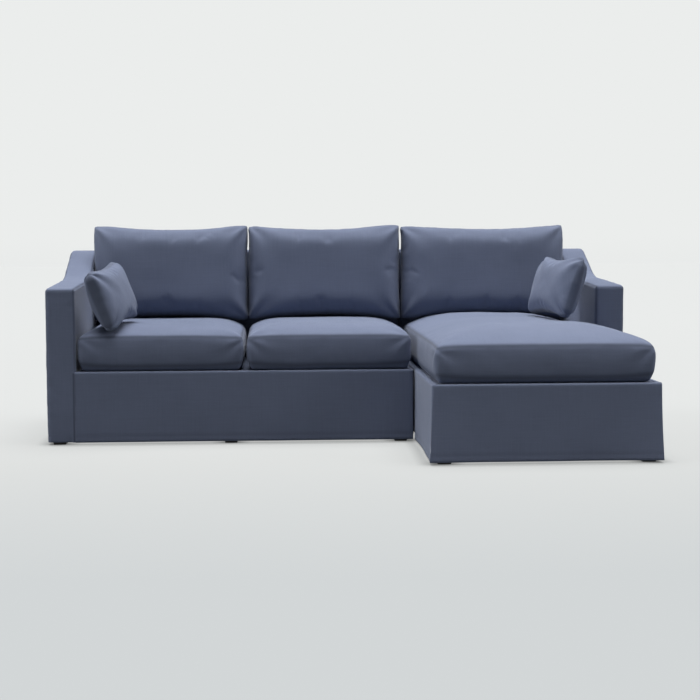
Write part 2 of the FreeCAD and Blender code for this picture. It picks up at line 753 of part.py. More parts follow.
def knife_edge_cushion(width, height, belly):
    """Cushion sewn from two squares: thin at its hollow edges, with ears at its corners."""
    w, h = width / 2, height / 2
    corners = [Vector(-w, -h, 0), Vector(w, -h, 0), Vector(w, h, 0), Vector(-w, h, 0)]
    outline = bowed_outline(corners, -EAR, EAR_RADIUS)
    half = [(scale, KNIFE_EDGE / 2 + (belly - KNIFE_EDGE / 2) * share)
            for scale, share in KNIFE_LEVELS]
    rings = [(scale, -depth) for scale, depth in reversed(half)] + half
    return ring_solid(outline, Vector(0, 0, 0), rings)


def core_box(x0, x1, y0, y1, z0, z1, grow):
    return box(x0 - grow, x1 + grow, y0 - grow, y1 + grow, z0 - grow, z1 + grow)


def save_boxed_cushion(name, outer, x0, x1, y0, y1):
    """Cover with a block of foam inside, a margin in from four sides of a rectangle."""
    base = DECK_HEIGHT + SLACK
    m = CORE_MARGIN
    limits = (x0 + m, x1 - m, y0 + m, y1 - m,
              base + CORE_ABOVE_BASE, base + SEAT_THICKNESS - CORE_BELOW_SEAM)
    save_cushion(name, outer, core_box(*limits, 0), core_box(*limits, SLACK))
    return outer


def save_cushion(name, outer, core, cavity):
    save(name + "_cover", outer.cut(cavity))
    save(name + "_core", core)


def seat_cushion(name, x0, x1, y0, y1):
    b = SEAT_BULGE
    corners = [Vector(x0 + b, y0 + b, 0), Vector(x1 - b, y0 + b, 0),
               Vector(x1 - b, y1 - b, 0), Vector(x0 + b, y1 - b, 0)]
    centre = Vector((x0 + x1) / 2, (y0 + y1) / 2, 0)
    outer = boxed_cushion(corners, centre, SEAT_CROWN)
    return save_boxed_cushion(name, outer, x0, x1, y0, y1)


def chaise_cushion(name):
    """Long cushion that widens in front of the arm."""
    b = SEAT_BULGE
    x0 = chaise.joint_face + CHAISE_CUSHION_INSET
    x_arm = chaise.arm_inner - SEAT_SIDE_CLEARANCE
    x_ear = chaise.outer - CHAISE_EAR_INSET
    y0 = CHAISE_FRONT + CHAISE_CUSHION_INSET
    y_ear = FRONT - CHAISE_ARM_CLEARANCE
    y1 = seat_rear()
    corners = [Vector(x0 + b, y0 + b, 0), Vector(x_ear - b, y0 + b, 0),
               Vector(x_ear - b, y_ear - b, 0), Vector(x_arm - b, y_ear - b, 0),
               Vector(x_arm - b, y1 - b, 0), Vector(x0 + b, y1 - b, 0)]
    centre = Vector((x0 + x_arm) / 2, y_ear - CORE_MARGIN, 0)
    outer = boxed_cushion(corners, centre, CHAISE_CUSHION_CROWN)
    return save_boxed_cushion(name, outer, x0, x_arm, y0, y1)


def seat_rear():
    return back_face_at(DECK_HEIGHT) - SEAT_BACK_CLEARANCE


def swept(bounds, direction, distance):
    """Bounding box drawn out along a direction."""
    region = FreeCAD.BoundBox(bounds)
    for corner in (Vector(bounds.XMin, bounds.YMin, bounds.ZMin),
                   Vector(bounds.XMax, bounds.YMax, bounds.ZMax)):
        region.add(corner + direction * distance)
    return region


def faces_within(shapes, region):
    return Part.makeCompound([face for shape in shapes for face in shape.Faces
                              if region.intersect(face.BoundBox)])


def settle(piece, direction, supports):
    """Slide a piece along a direction until it all but touches one of its supports."""
    seats = faces_within(supports, swept(piece.BoundBox, direction, SETTLE_REACH))
    leading = faces_within([piece], swept(seats.BoundBox, -direction, SETTLE_REACH))
    moved = Vector(0, 0, 0)
    for _ in range(SETTLE_STEPS):
        gap = leading.distToShape(seats)[0]
        if gap < SETTLED:
            break
        step = direction * (gap - SLACK)
        leading.translate(step)
        moved += step
    piece.translate(moved)


def loose_cushion(name, size, turn, start, moves):
    """Knife-edge cushion stood up, turned, and settled along each (direction, supports)."""
    width, height, belly = size
    outer = knife_edge_cushion(width, height, belly)
    lean, yaw, roll = turn
    outer.rotate(Vector(0, 0, 0), Vector(0, 0, 1), roll)
    outer.rotate(Vector(0, 0, 0), Vector(1, 0, 0), 90 - lean)
    outer.rotate(Vector(0, 0, 0), Vector(0, 0, 1), yaw)
    outer.translate(start)
    for direction, supports in moves:
        settle(outer, direction, supports)
    w, h, t = (CORE_SHARE * value / 2 for value in (width, height, 2 * belly))
    core = core_box(-w, w, -h, h, -t, t, 0)
    cavity = core_box(-w, w, -h, h, -t, t, SLACK)
    core.Placement = outer.Placement
    cavity.Placement = outer.Placement
    save_cushion(name, outer, core, cavity)
    return outer


def back_cushion(name, x0, x1, seat, back_cover):
    """Back cushion that stands on a seat cushion and leans on the back."""
    top_of_seat = seat.BoundBox.ZMax
    start = Vector((x0 + x1) / 2, back_face_at(DECK_HEIGHT) - BACK_CUSHION_START,
                   top_of_seat + BACK_CUSHION_HEIGHT / 2)
    size = (x1 - x0, BACK_CUSHION_HEIGHT, BACK_CUSHION_BELLY)
    moves = ((DOWN, [seat]), (BACKWARD, [back_cover]), (DOWN, [seat, back_cover]))
    return loose_cushion(name, size, (BACK_CUSHION_LEAN, 0, 0), start, moves)


def side_pillow(name, unit, seat, arm_cover, turned_in, roll, from_front):
    """Small pillow that stands on a seat cushion and leans on the arm."""
    yaw = -unit.side * (90 - turned_in)
    towards_arm = Vector(unit.side, 0, 0)
    start = Vector(unit.arm_inner - unit.side * PILLOW_START,
                   FRONT + from_front + PILLOW_LENGTH / 2,
                   seat.BoundBox.ZMax + PILLOW_LENGTH / 2)
    moves = ((DOWN, [seat, arm_cover]), (towards_arm, [seat, arm_cover]),
             (DOWN, [seat, arm_cover]), (towards_arm, [seat, arm_cover]))
    return loose_cushion(name, (PILLOW_LENGTH, PILLOW_HEIGHT, PILLOW_BELLY),
                         (PILLOW_TILT, yaw, roll), start, moves)


arm_covers = {}
back_covers = {}
for current in (two_seat, chaise):
    base_rails(current)
    corner_blocks(current)
    feet(current)
    dust_cover(current)
    deck(current)
    arm_covers[current] = arm(current)
    back_covers[current] = back(current)
    skirt(current)
    brackets(current)
seat_webbing(two_seat, BAND_PITCH_TWO_SEAT)
seat_webbing(chaise, BAND_PITCH_CHAISE)

left_start = two_seat.arm_inner + SEAT_SIDE_CLEARANCE
seat_room = SPLIT_LEFT - SEAT_JOINT_CLEARANCE - left_start
seat_width = (seat_room - SEAT_NEIGHBOUR_GAP) / 2
middle_start = left_start + seat_width + SEAT_NEIGHBOUR_GAP
left_seat = seat_cushion("left_seat_cushion", left_start, left_start + seat_width,
                         FRONT - SEAT_BULGE, seat_rear())
middle_seat = seat_cushion("middle_seat_cushion", middle_start, middle_start + seat_width,
                           FRONT - SEAT_BULGE, seat_rear())
long_seat = chaise_cushion("chaise_cushion")

edge = BACK_CUSHION_GAP / 2
back_cushion("left_back_cushion", two_seat.arm_inner + edge, middle_start - edge,
             left_seat, back_covers[two_seat])
back_cushion("middle_back_cushion", middle_start + edge, SPLIT_LEFT - edge / 2,
             middle_seat, back_covers[two_seat])
back_cushion("right_back_cushion", SPLIT_RIGHT + edge, chaise.arm_inner - edge,
             long_seat, back_covers[chaise])
side_pillow("left_pillow", two_seat, left_seat, arm_covers[two_seat],
            LEFT_PILLOW_YAW, LEFT_PILLOW_ROLL, LEFT_PILLOW_FROM_FRONT)
side_pillow("right_pillow", chaise, long_seat, arm_covers[chaise],
            RIGHT_PILLOW_YAW, 0, RIGHT_PILLOW_FROM_FRONT)
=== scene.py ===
"""Sewn covers, stuffed cushions and the stage of a two-piece sectional sofa with a chaise."""

import json
import math

import bmesh
import bpy
import numpy as np
from bpy.props import FloatProperty, FloatVectorProperty, IntProperty, PointerProperty
from mathutils import Matrix, Vector
from mathutils.bvhtree import BVHTree

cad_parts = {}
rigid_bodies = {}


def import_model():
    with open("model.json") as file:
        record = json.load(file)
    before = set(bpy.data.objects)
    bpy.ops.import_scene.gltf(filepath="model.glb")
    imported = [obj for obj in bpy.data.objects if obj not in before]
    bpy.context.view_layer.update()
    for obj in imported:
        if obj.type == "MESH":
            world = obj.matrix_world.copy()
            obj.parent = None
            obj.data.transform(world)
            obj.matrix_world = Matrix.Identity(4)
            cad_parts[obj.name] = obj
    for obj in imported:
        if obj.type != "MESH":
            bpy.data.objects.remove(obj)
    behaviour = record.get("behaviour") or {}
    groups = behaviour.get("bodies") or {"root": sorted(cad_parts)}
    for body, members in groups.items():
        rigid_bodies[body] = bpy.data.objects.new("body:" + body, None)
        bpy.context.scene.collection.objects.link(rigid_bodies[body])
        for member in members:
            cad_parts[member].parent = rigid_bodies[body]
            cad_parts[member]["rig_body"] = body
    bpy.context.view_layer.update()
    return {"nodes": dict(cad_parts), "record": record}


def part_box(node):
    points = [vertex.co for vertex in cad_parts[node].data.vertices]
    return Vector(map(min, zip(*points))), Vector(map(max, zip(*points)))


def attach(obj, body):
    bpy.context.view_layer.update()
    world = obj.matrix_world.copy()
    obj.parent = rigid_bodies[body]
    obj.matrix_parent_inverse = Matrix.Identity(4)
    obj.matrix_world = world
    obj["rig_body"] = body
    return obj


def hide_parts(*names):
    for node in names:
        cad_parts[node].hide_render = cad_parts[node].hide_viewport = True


bl_info = {
    "name": "Sectional Sofa",
    "version": (1, 0, 0),
    "blender": (4, 5, 0),
    "location": "View3D > Sidebar > Sofa",
    "description": "Dresses the frame of a sectional sofa in sewn covers and stuffed cushions",
    "category": "Object",
}

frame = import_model()
SIDES = {"two_seat": -1, "chaise": 1}

# Skirts: distance between points, radius of the base's corners, where two panels meet on that
# round as a share of the radius, how much of a panel's end follows the corner, and height of the
# hem between the units
SPACING = 0.009
CORNER = 0.010
CORNER_MIDDLE = 0.29
END_REACH = 0.03
INNER_HEM = 0.032

# Backs and cushions: depth of the back's top, gap under a resting piece, how far rounding off
# draws in a knife edge, radius of a seat cushion's corners in plan, how far its underside curls,
# and how the cushions' cloth moves
BACK_TOP_DEPTH = 0.12
RESTING_GAP = 0.001
EDGE_DRAW = 0.010
SEAT_CORNER = 0.018
SEAT_CURL = 0.032
CLOTH_FEEL = {"quality": 6, "mass": 0.25, "air_damping": 4, "tension_stiffness": 20,
              "compression_stiffness": 20, "shear_stiffness": 8, "bending_stiffness": 0.3,
              "use_pressure": True}


def low(node):
    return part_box(node)[0]


def high(node):
    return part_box(node)[1]


DECK = high("two_seat_deck_cover").z
HEM = low("two_seat_skirt").z


# Sizes and colours that a user would change

def metres(name, description, default):
    return FloatProperty(name=name, description=description, default=default, unit="LENGTH")


def degrees(name, description, default):
    return FloatProperty(name=name, description=description, default=math.radians(default),
                         subtype="ANGLE")


def brightness(name, description, default):
    return FloatProperty(name=name, description=description, default=default, min=0)


def paint(name, description, default):
    return FloatVectorProperty(name=name, description=description, default=default,
                               subtype="COLOR", min=0, max=1)


class CoverSettings(bpy.types.PropertyGroup):
    """Sewn covers of the arms, backs and base"""
    corner: metres("Corner radius", "Rounding of an arm's or back's corners", 0.012)
    dip_from_rear: metres("Dip from rear", "Where the arm starts to rise", 0.382)
    dip_height: metres("Dip height", "Height of the arm where it starts to rise", 0.671)
    shoulder_from_rear: metres("Shoulder from rear", "Where the arm reaches the back's height", 0.116)
    front_height: metres("Arm front height", "Height of the arm's front end", 0.648)
    hem: metres("Hem", "Depth of the folded hem", 0.030)
    flare: metres("Flare", "How far the chaise skirt's corners swing out", 0.009)
    seam: metres("Seam depth", "How deep a plain seam sinks in", 0.0018)


class CushionSettings(bpy.types.PropertyGroup):
    """Seat cushions, back cushions and side pillows"""
    band_low: metres("Lower seam", "Lower seam of a seat cushion above the deck", 0.023)
    band_high: metres("Upper seam", "Upper seam of a seat cushion above the deck", 0.145)
    lean: degrees("Back lean", "How far the back cushions lean back", 9)
    tilt: degrees("Pillow tilt", "How far the side pillows lean on the arms", 19)
    left_yaw: degrees("Left pillow yaw", "Turn of the left pillow inwards", 77)
    right_yaw: degrees("Right pillow yaw", "Turn of the right pillow inwards", 76)
    roll: degrees("Left pillow roll", "How far the left pillow tips forward", 7)
    back_top: metres("Back cushion top", "Height of the back cushions' tops", 0.909)
    back_height: metres("Back cushion height", "Height between its seams", 0.440)
    back_belly: metres("Back cushion belly", "Half of its greatest thickness", 0.096)
    pillow_width: metres("Pillow width", "Length of a side pillow", 0.380)
    pillow_height: metres("Pillow height", "Height of a side pillow", 0.265)
    pillow_belly: metres("Pillow belly", "Half of a pillow's greatest thickness", 0.062)
    pressure: FloatProperty(name="Stuffing pressure", description="How hard the stuffing pushes",
                            default=6.0, min=0.0)
    steps: IntProperty(name="Settling steps", description="Steps of the cloth simulation", default=24)


class FabricSettings(bpy.types.PropertyGroup):
    """Colours and weave"""
    cloth: paint("Cloth", "Colour of the upholstery cloth", (0.163, 0.192, 0.280))
    cloth_dark: paint("Dark yarn", "Colour of its darker yarns", (0.116, 0.139, 0.209))
    thread: metres("Thread pitch", "Distance between threads of the weave", 0.0013)
    sheen: FloatProperty(name="Sheen", description="Strength of the brushed surface's sheen", default=0.2)


class StageSettings(bpy.types.PropertyGroup):
    """Floor, surroundings, lamps and camera"""
    near: paint("Floor in front", "Colour of the floor near the camera", (0.631, 0.658, 0.665))
    floor: paint("Floor", "Colour of the floor at the sofa's front", (0.723, 0.738, 0.730))
    behind: paint("Floor behind", "Colour of the floor at the sofa's back", (0.783, 0.799, 0.791))
    upper: paint("Surroundings", "Colour of the surroundings", (0.831, 0.847, 0.839))
    lower: paint("Below the horizon", "Colour of the surroundings below the horizon",
                 (0.69, 0.71, 0.71))
    shadow: FloatProperty(name="Shadow", description="Share of the floor's colour that shadows take away",
                          default=0.20, min=0, max=1)
    floor_light: brightness("Floor light", "Light that falls on the open floor", 1.65)
    top_lamp: brightness("Top lamp", "Strength of the broad lamp overhead", 4.7)
    left_lamp: brightness("Left lamp", "Strength of the lamp on the left", 1.2)
    right_lamp: brightness("Right lamp", "Strength of the lamp at the front right", 0.55)
    ambient: brightness("Ambient", "Strength of the light from all round", 0.04)


SETTINGS = {"sofa_covers": CoverSettings, "sofa_cushions": CushionSettings,
            "sofa_fabric": FabricSettings, "sofa_stage": StageSettings}


# Helpers for numbers and meshes

def wander(points, size, seed):
    """Smooth noise from -1 to 1 with features of about a size, the same for the same seed."""
    table = np.random.default_rng(seed).uniform(-1, 1, 4096)
    place = np.asarray(points, float) / size
    cell = np.floor(place).astype(np.int64)
    t = place - cell
    t = t * t * (3 - 2 * t)
    total = np.zeros(len(place))
    for corner in np.ndindex(2, 2, 2):
        key = (cell + corner) @ np.array([73856093, 19349663, 83492791]) & 4095
        weight = np.prod(np.where(corner, t, 1 - t), axis=1)
        total += table[key] * weight
    return total


def bump_at(distance, width):
    """1 at distance 0, fading to 0 over about a width."""
    return np.exp(-(distance / width) ** 2)


def read_points(mesh):
    points = np.zeros(len(mesh.vertices) * 3, np.float32)
    mesh.vertices.foreach_get("co", points)
    return points.reshape(-1, 3).astype(float)


def write_points(mesh, points):
    mesh.vertices.foreach_set("co", np.asarray(points, np.float32).ravel())
    mesh.update()


def read_normals(mesh):
    normals = np.zeros(len(mesh.vertices) * 3, np.float32)
    mesh.vertex_normals.foreach_get("vector", normals)
    return normals.reshape(-1, 3).astype(float)


def mark(mesh, name, values):
    """Store one number for each point, for the cloth's material."""
    layer = mesh.attributes.get(name) or mesh.attributes.new(name, "FLOAT", "POINT")
    layer.data.foreach_set("value", np.asarray(values, np.float32))


def add_object(name, data):
    added = bpy.data.objects.new(name, data)
    bpy.context.scene.collection.objects.link(added)
    return added


def new_piece(name, points, faces):
    mesh = bpy.data.meshes.new(name)
    mesh.from_pydata([tuple(p) for p in points], [], faces)
    mesh.update()
    return add_object(name, mesh)


def finish_piece(piece, body, slot, nodes=()):
    """Smooth shading, the material of a slot, the body, and hiding the nodes that the piece stands for.
    """
    piece.data.materials.clear()
    piece.data.materials.append(finishes()[slot])
    piece.data.polygons.foreach_set("use_smooth", [True] * len(piece.data.polygons))
    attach(piece, body)
    if nodes:
        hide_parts(*nodes)
    return piece


def round_off(piece):
    """Live subdivision, so that the piece has no visible facets."""
    modifier = piece.modifiers.new("Smooth", "SUBSURF")
    modifier.levels = modifier.render_levels = 1


def remeshed(piece, voxel):
    """Replace a piece's mesh by an even one."""
    modifier = piece.modifiers.new("Even", "REMESH")
    modifier.mode = "VOXEL"
    modifier.voxel_size = voxel
    shown = piece.evaluated_get(bpy.context.evaluated_depsgraph_get())
    mesh = bpy.data.meshes.new_from_object(shown)
    piece.modifiers.clear()
    piece.data = mesh


# Outlines in the plane of Y and Z

def rounded_outline(corners, step):
    """Closed outline through (y, z, radius) corners, with points about a step apart."""
    tangents = []
    for i, (y, z, radius) in enumerate(corners):
        here = Vector((y, z))
        before = (Vector(corners[i - 1][:2]) - here).normalized()
        after = (Vector(corners[(i + 1) % len(corners)][:2]) - here).normalized()
        turn = math.pi - before.angle(after)
        cut = radius * math.tan(turn / 2)
        start, end = here + before * cut, here + after * cut
        points = [start]
        if radius > 0:
            bisector = (before + after).normalized()
            centre = here + bisector * (radius / math.cos(turn / 2))
            a0 = math.atan2(start.y - centre.y, start.x - centre.x)
            a1 = math.atan2(end.y - centre.y, end.x - centre.x)
            sweep = (a1 - a0 + math.pi) % (2 * math.pi) - math.pi
            count = max(3, round(abs(sweep) * radius / step))
            points = [centre + Vector((math.cos(a0 + sweep * k / count),
                                       math.sin(a0 + sweep * k / count))) * radius
                      for k in range(count + 1)]
        tangents.append(points)
    outline = []
    for i, points in enumerate(tangents):
        outline += points
        following = tangents[(i + 1) % len(tangents)][0]
        gap = following - points[-1]
        for k in range(1, int(gap.length / step)):
            outline.append(points[-1] + gap * (k * step / gap.length))
    return np.array([tuple(p) for p in outline])


def from_outline(points, outline):
    """Distance of each (y, z) from the closed outline."""
    best = np.full(len(points), np.inf)
    for a, b in zip(outline, np.roll(outline, -1, axis=0)):
        d = b - a
        t = np.clip((points - a) @ d / max(d @ d, 1e-12), 0, 1)
        best = np.minimum(best, np.linalg.norm(points - a - t[:, None] * d, axis=1))
    return best


def arm_outline(covers):
    front, rear = low("two_seat_arm_cover").y, high("two_seat_arm_cover").y
    top = high("two_seat_back_cover").z
    return [(front, HEM, 0), (front, covers.front_height, covers.corner),
            (rear - covers.dip_from_rear, covers.dip_height, 0.4),
            (rear - covers.shoulder_from_rear, top, 0.135),
            (rear, top, covers.corner), (rear, HEM, 0)]


def back_outline(covers, node):
    """The back's leaning front, top and outside; its front stops at the deck."""
    rear, top = high(node).y, high(node).z
    return [(low(node).y, HEM, 0), (low(node).y, DECK, 0), (rear - BACK_TOP_DEPTH, top, covers.corner),
            (rear, top, covers.corner), (rear, HEM, 0)]


def sewn_block(name, corners, x0, x1, edge, voxel):
    """Even mesh of an outline drawn out along X, with its long edges rounded."""
    outline = rounded_outline(corners, 0.02)
    mesh = bpy.data.meshes.new(name)
    shape = bmesh.new()
    face = shape.faces.new([shape.verts.new((x0, y, z)) for y, z in outline])
    grown = bmesh.ops.extrude_face_region(shape, geom=[face])
    bmesh.ops.translate(shape, vec=(x1 - x0, 0, 0),
                        verts=[v for v in grown["geom"] if isinstance(v, bmesh.types.BMVert)])
    bmesh.ops.recalc_face_normals(shape, faces=shape.faces)
    rim = [e for e in shape.edges
           if abs(e.verts[0].co.x - e.verts[1].co.x) < 1e-6
           and max(v.co.z for v in e.verts) > HEM + 1e-4]
    bmesh.ops.bevel(shape, geom=rim, offset=edge, segments=4, profile=0.5, affect="EDGES",
                    clamp_overlap=True)
    shape.to_mesh(mesh)
    shape.free()
    piece = add_object(name, mesh)
    remeshed(piece, voxel)
    return piece, outline


def drop_faces(mesh, unwanted):
    """Remove the faces for which unwanted(centre, normal) holds."""
    shape = bmesh.new()
    shape.from_mesh(mesh)
    gone = [f for f in shape.faces if unwanted(f.calc_center_median(), f.normal)]
    bmesh.ops.delete(shape, geom=gone, context="FACES")
    shape.to_mesh(mesh)
    shape.free()


def turn_hem_under(mesh, covers):
    """Fold the open lower edge inwards and up, as a sewn hem is."""
    shape = bmesh.new()
    shape.from_mesh(mesh)
    shape.normal_update()
    hem = [e for e in shape.edges if e.is_boundary and max(v.co.z for v in e.verts) < HEM + 0.012]
    inward = {v: -Vector((v.normal.x, v.normal.y, 0)).normalized() for e in hem for v in e.verts}
    for drop, shift in ((0.0, 0.003), (covers.hem, 0.0)):
        grown = bmesh.ops.extrude_edge_only(shape, edges=hem)["geom"]
        new = [g for g in grown if isinstance(g, bmesh.types.BMVert)]
        moved = {}
        for vert in new:
            source = next(e.other_vert(vert) for e in vert.link_edges
                          if e.other_vert(vert) in inward)
            vert.co += inward[source] * shift + Vector((0, 0, drop))
            moved[vert] = inward[source]
        inward = moved
        hem = [g for g in grown if isinstance(g, bmesh.types.BMEdge)
               and all(v in moved for v in g.verts)]
    shape.to_mesh(mesh)
    shape.free()


def open_and_hem(piece, unit, node, covers, unwanted):
    """Last steps of an arm's or back's cover, which is open below and where a part joins it."""
    drop_faces(piece.data, unwanted)
    turn_hem_under(piece.data, covers)
    finish_piece(piece, unit + "_unit", "upholstery", [node])


def soften(piece, outline, x0, x1, covers, seed):
    """Seams along both long edges, a stitched hem and the slackness of a loose cover."""
    mesh = piece.data
    points, normals = read_points(mesh), read_normals(mesh)
    rim = from_outline(points[:, 1:], outline)
    side = np.minimum(np.abs(points[:, 0] - x0), np.abs(points[:, 0] - x1))
    near = (rim + side < 0.022) & (points[:, 2] > HEM + 0.004)
    seam = bump_at(rim - side, 0.004) * near
    stitch = bump_at(points[:, 2] - HEM - covers.hem, 0.004) * (rim > 0.0005)
    slack = 0.0012 * wander(points, 0.16, seed) + 0.0006 * wander(points, 0.05, seed + 1)
    pucker = 0.0007 * wander(points, 0.022, seed + 2) * bump_at(rim + side, 0.05)
    depth = -covers.seam * seam - 0.0008 * stitch + slack + pucker
    write_points(mesh, points + normals * depth[:, None])
    # The seam mark stores painted shade for the seams and the hem's stitching.
    mark(mesh, "seam", np.clip(seam + 0.5 * stitch, 0, 1))


# Materials

def node_at(nodes, kind, x, y, **values):
    node = nodes.new(kind)
    node.location = (x, y)
    for name, value in values.items():
        setattr(node, name, value)
    return node


def set_inputs(node, values):
    for name, value in values.items():
        node.inputs[name].default_value = value


def new_material(name):
    material = bpy.data.materials.new(name)
    material.use_nodes = True
    return material, material.node_tree, material.node_tree.nodes["Principled BSDF"]


def stretched_noise(tree, coords, scale, detail, x, y):
    """Noise drawn out into yarns by an uneven scale."""
    mapping = node_at(tree.nodes, "ShaderNodeMapping", x, y)
    set_inputs(mapping, {"Scale": scale})
    noise = node_at(tree.nodes, "ShaderNodeTexNoise", x + 200, y)
    set_inputs(noise, {"Scale": 1.0, "Detail": detail})
    tree.links.new(coords, mapping.inputs["Vector"])
    tree.links.new(mapping.outputs["Vector"], noise.inputs["Vector"])
    return noise.outputs["Fac"]


def math_node(tree, operation, first, second, x, y):
    node = node_at(tree.nodes, "ShaderNodeMath", x, y, operation=operation)
    for socket, value in zip(node.inputs, (first, second)):
        if isinstance(value, (int, float)):
            socket.default_value = value
        else:
            tree.links.new(value, socket)
    return node.outputs[0]


def colour_mix(tree, amount, first, second, x, y):
    node = node_at(tree.nodes, "ShaderNodeMix", x, y, data_type="RGBA")
    sockets = (node.inputs[0], node.inputs[6], node.inputs[7])
    for socket, value in zip(sockets, (amount, first, second)):
        if isinstance(value, bpy.types.NodeSocket):
            tree.links.new(value, socket)
        elif isinstance(value, (int, float)):
            socket.default_value = value
        else:
            socket.default_value = (*value, 1.0)
    return node.outputs[2]


def woven_cloth(name, light, dark, thread, sheen, roughness, bump):
    """Plain-woven cloth: yarns both ways, slubs, seam shading and a brushed sheen."""
    material, tree, shader = new_material(name)
    set_inputs(shader, {"Roughness": roughness, "Sheen Weight": sheen, "Sheen Roughness": 0.45,
                        "Sheen Tint": (0.80, 0.84, 0.95, 1.0), "Specular IOR Level": 0.18})
    coords = node_at(tree.nodes, "ShaderNodeTexCoord", -1700, 0).outputs["Object"]
    fine = 1 / thread
    weft = stretched_noise(tree, coords, (9, fine / 3, fine / 3), 2, -1500, 300)
    warp = stretched_noise(tree, coords, (fine / 3, 9, 9), 2, -1500, 0)
    cloudy = stretched_noise(tree, coords, (5, 5, 5), 3, -1500, -300)
    yarns = math_node(tree, "ADD", weft, warp, -1050, 150)
    yarns = math_node(tree, "MULTIPLY_ADD", yarns, 0.4, -850, 150)
    yarns.node.inputs[2].default_value = 0.1
    amount = math_node(tree, "MULTIPLY_ADD", cloudy, 0.5, -850, -100)
    tree.links.new(yarns, amount.node.inputs[2])
    amount = math_node(tree, "SUBTRACT", amount, 0.25, -650, 50)
    amount.node.use_clamp = True
    # The seam mark mixes the cloth towards a darker yarn colour: painted shade in the grooves of seams
    # and stitching.
    seam = node_at(tree.nodes, "ShaderNodeAttribute", -850, -300, attribute_name="seam")
    colour = colour_mix(tree, amount, dark, light, -450, 100)
    painted_seam_shade = math_node(tree, "MULTIPLY", seam.outputs["Fac"], 0.9, -650, -300)
    colour = colour_mix(tree, painted_seam_shade, colour, [c * 0.45 for c in dark], -250, 50)
    tree.links.new(colour, shader.inputs["Base Color"])
    waves = []
    for i, direction in enumerate(("X", "Y", "Z")):
        wave = node_at(tree.nodes, "ShaderNodeTexWave", -1100, -600 - 250 * i,
                       bands_direction=direction)
        set_inputs(wave, {"Scale": 2 * math.pi / (20 * thread), "Distortion": 1.2,
                          "Detail Scale": 0.6})
        tree.links.new(coords, wave.inputs["Vector"])
        waves.append(wave.outputs["Fac"])
    weave = math_node(tree, "MAXIMUM", waves[0], math_node(
        tree, "MAXIMUM", waves[1], waves[2], -900, -800), -700, -700)
    fuzz = stretched_noise(tree, coords, (fine / 2,) * 3, 3, -1500, -1400)
    height = math_node(tree, "ADD", math_node(tree, "MULTIPLY", weave, 0.6, -550, -700),
                       math_node(tree, "MULTIPLY", fuzz, 0.7, -550, -900), -400, -800)
    height = math_node(tree, "ADD", height, yarns, -250, -700)
    relief = node_at(tree.nodes, "ShaderNodeBump", -100, -500)
    set_inputs(relief, {"Strength": bump, "Distance": thread * 0.4})
    tree.links.new(height, relief.inputs["Height"])
    tree.links.new(relief.outputs["Normal"], shader.inputs["Normal"])
    return material


def speckled(name, light, dark, scale, roughness, metallic=0.0, bump=0.15):
    """Plain material with fine mottling in three even directions or along a grain."""
    material, tree, shader = new_material(name)
    set_inputs(shader, {"Metallic": metallic})
    coords = node_at(tree.nodes, "ShaderNodeTexCoord", -1300, 0).outputs["Object"]
    broad = stretched_noise(tree, coords, scale, 5, -1100, 100)
    fine = stretched_noise(tree, coords, [s * 7 for s in scale], 3, -1100, -200)
    amount = math_node(tree, "MULTIPLY_ADD", broad, 1.6, -700, 0)
    amount.node.inputs[2].default_value = -0.3
    amount.node.use_clamp = True
    tree.links.new(colour_mix(tree, amount, dark, light, -450, 50), shader.inputs["Base Color"])
    rough = math_node(tree, "MULTIPLY_ADD", fine, 0.15, -450, -250)
    rough.node.inputs[2].default_value = roughness - 0.075
    tree.links.new(rough, shader.inputs["Roughness"])
    relief = node_at(tree.nodes, "ShaderNodeBump", -250, -400)
    set_inputs(relief, {"Strength": bump, "Distance": 0.0008})
    tree.links.new(fine, relief.inputs["Height"])
    tree.links.new(relief.outputs["Normal"], shader.inputs["Normal"])
    return material


def finishes():
    """The sofa's materials by the record's slot names, made once."""
    fabric = bpy.context.scene.sofa_fabric
    made = {
        "upholstery": (woven_cloth, "brushed_blue_cloth", fabric.cloth, fabric.cloth_dark,
                       fabric.thread, fabric.sheen, 0.85, 0.5),
        "dust_cloth": (woven_cloth, "black_dust_cloth", (0.012, 0.012, 0.013),
                       (0.006, 0.006, 0.006), 0.0018, 0.05, 0.9, 0.3),
        "elastic_band": (woven_cloth, "elastic_band_weave", (0.06, 0.06, 0.062),
                         (0.02, 0.02, 0.022), 0.0022, 0.1, 0.8, 0.6),
        "foam": (speckled, "cut_foam", (0.86, 0.78, 0.5), (0.76, 0.66, 0.38),
                 (420, 420, 420), 0.95, 0.0, 0.6),
        "filling": (woven_cloth, "fibre_lining", (0.84, 0.84, 0.82), (0.74, 0.74, 0.72),
                    0.0012, 0.1, 0.9, 0.4),
        "wadding": (speckled, "bonded_wadding", (0.86, 0.86, 0.83), (0.72, 0.72, 0.69),
                    (160, 160, 160), 0.98, 0.0, 0.8),
        "timber": (speckled, "planed_softwood", (0.62, 0.42, 0.22), (0.40, 0.24, 0.11),
                   (5, 60, 60), 0.6),
        "plywood": (speckled, "sanded_plywood", (0.66, 0.48, 0.27), (0.48, 0.32, 0.16),
                    (60, 6, 14), 0.62),
        "foot": (speckled, "black_moulding", (0.016, 0.016, 0.017), (0.008, 0.008, 0.009),
                 (700, 700, 700), 0.5),
        "plated_steel": (speckled, "zinc_plate", (0.68, 0.69, 0.71), (0.45, 0.46, 0.48),
                         (90, 90, 90), 0.34, 1.0, 0.05),
    }
    return {slot: bpy.data.materials.get(name) or make(name, *look)
            for slot, (make, name, *look) in made.items()}


# Panels that hang or lie

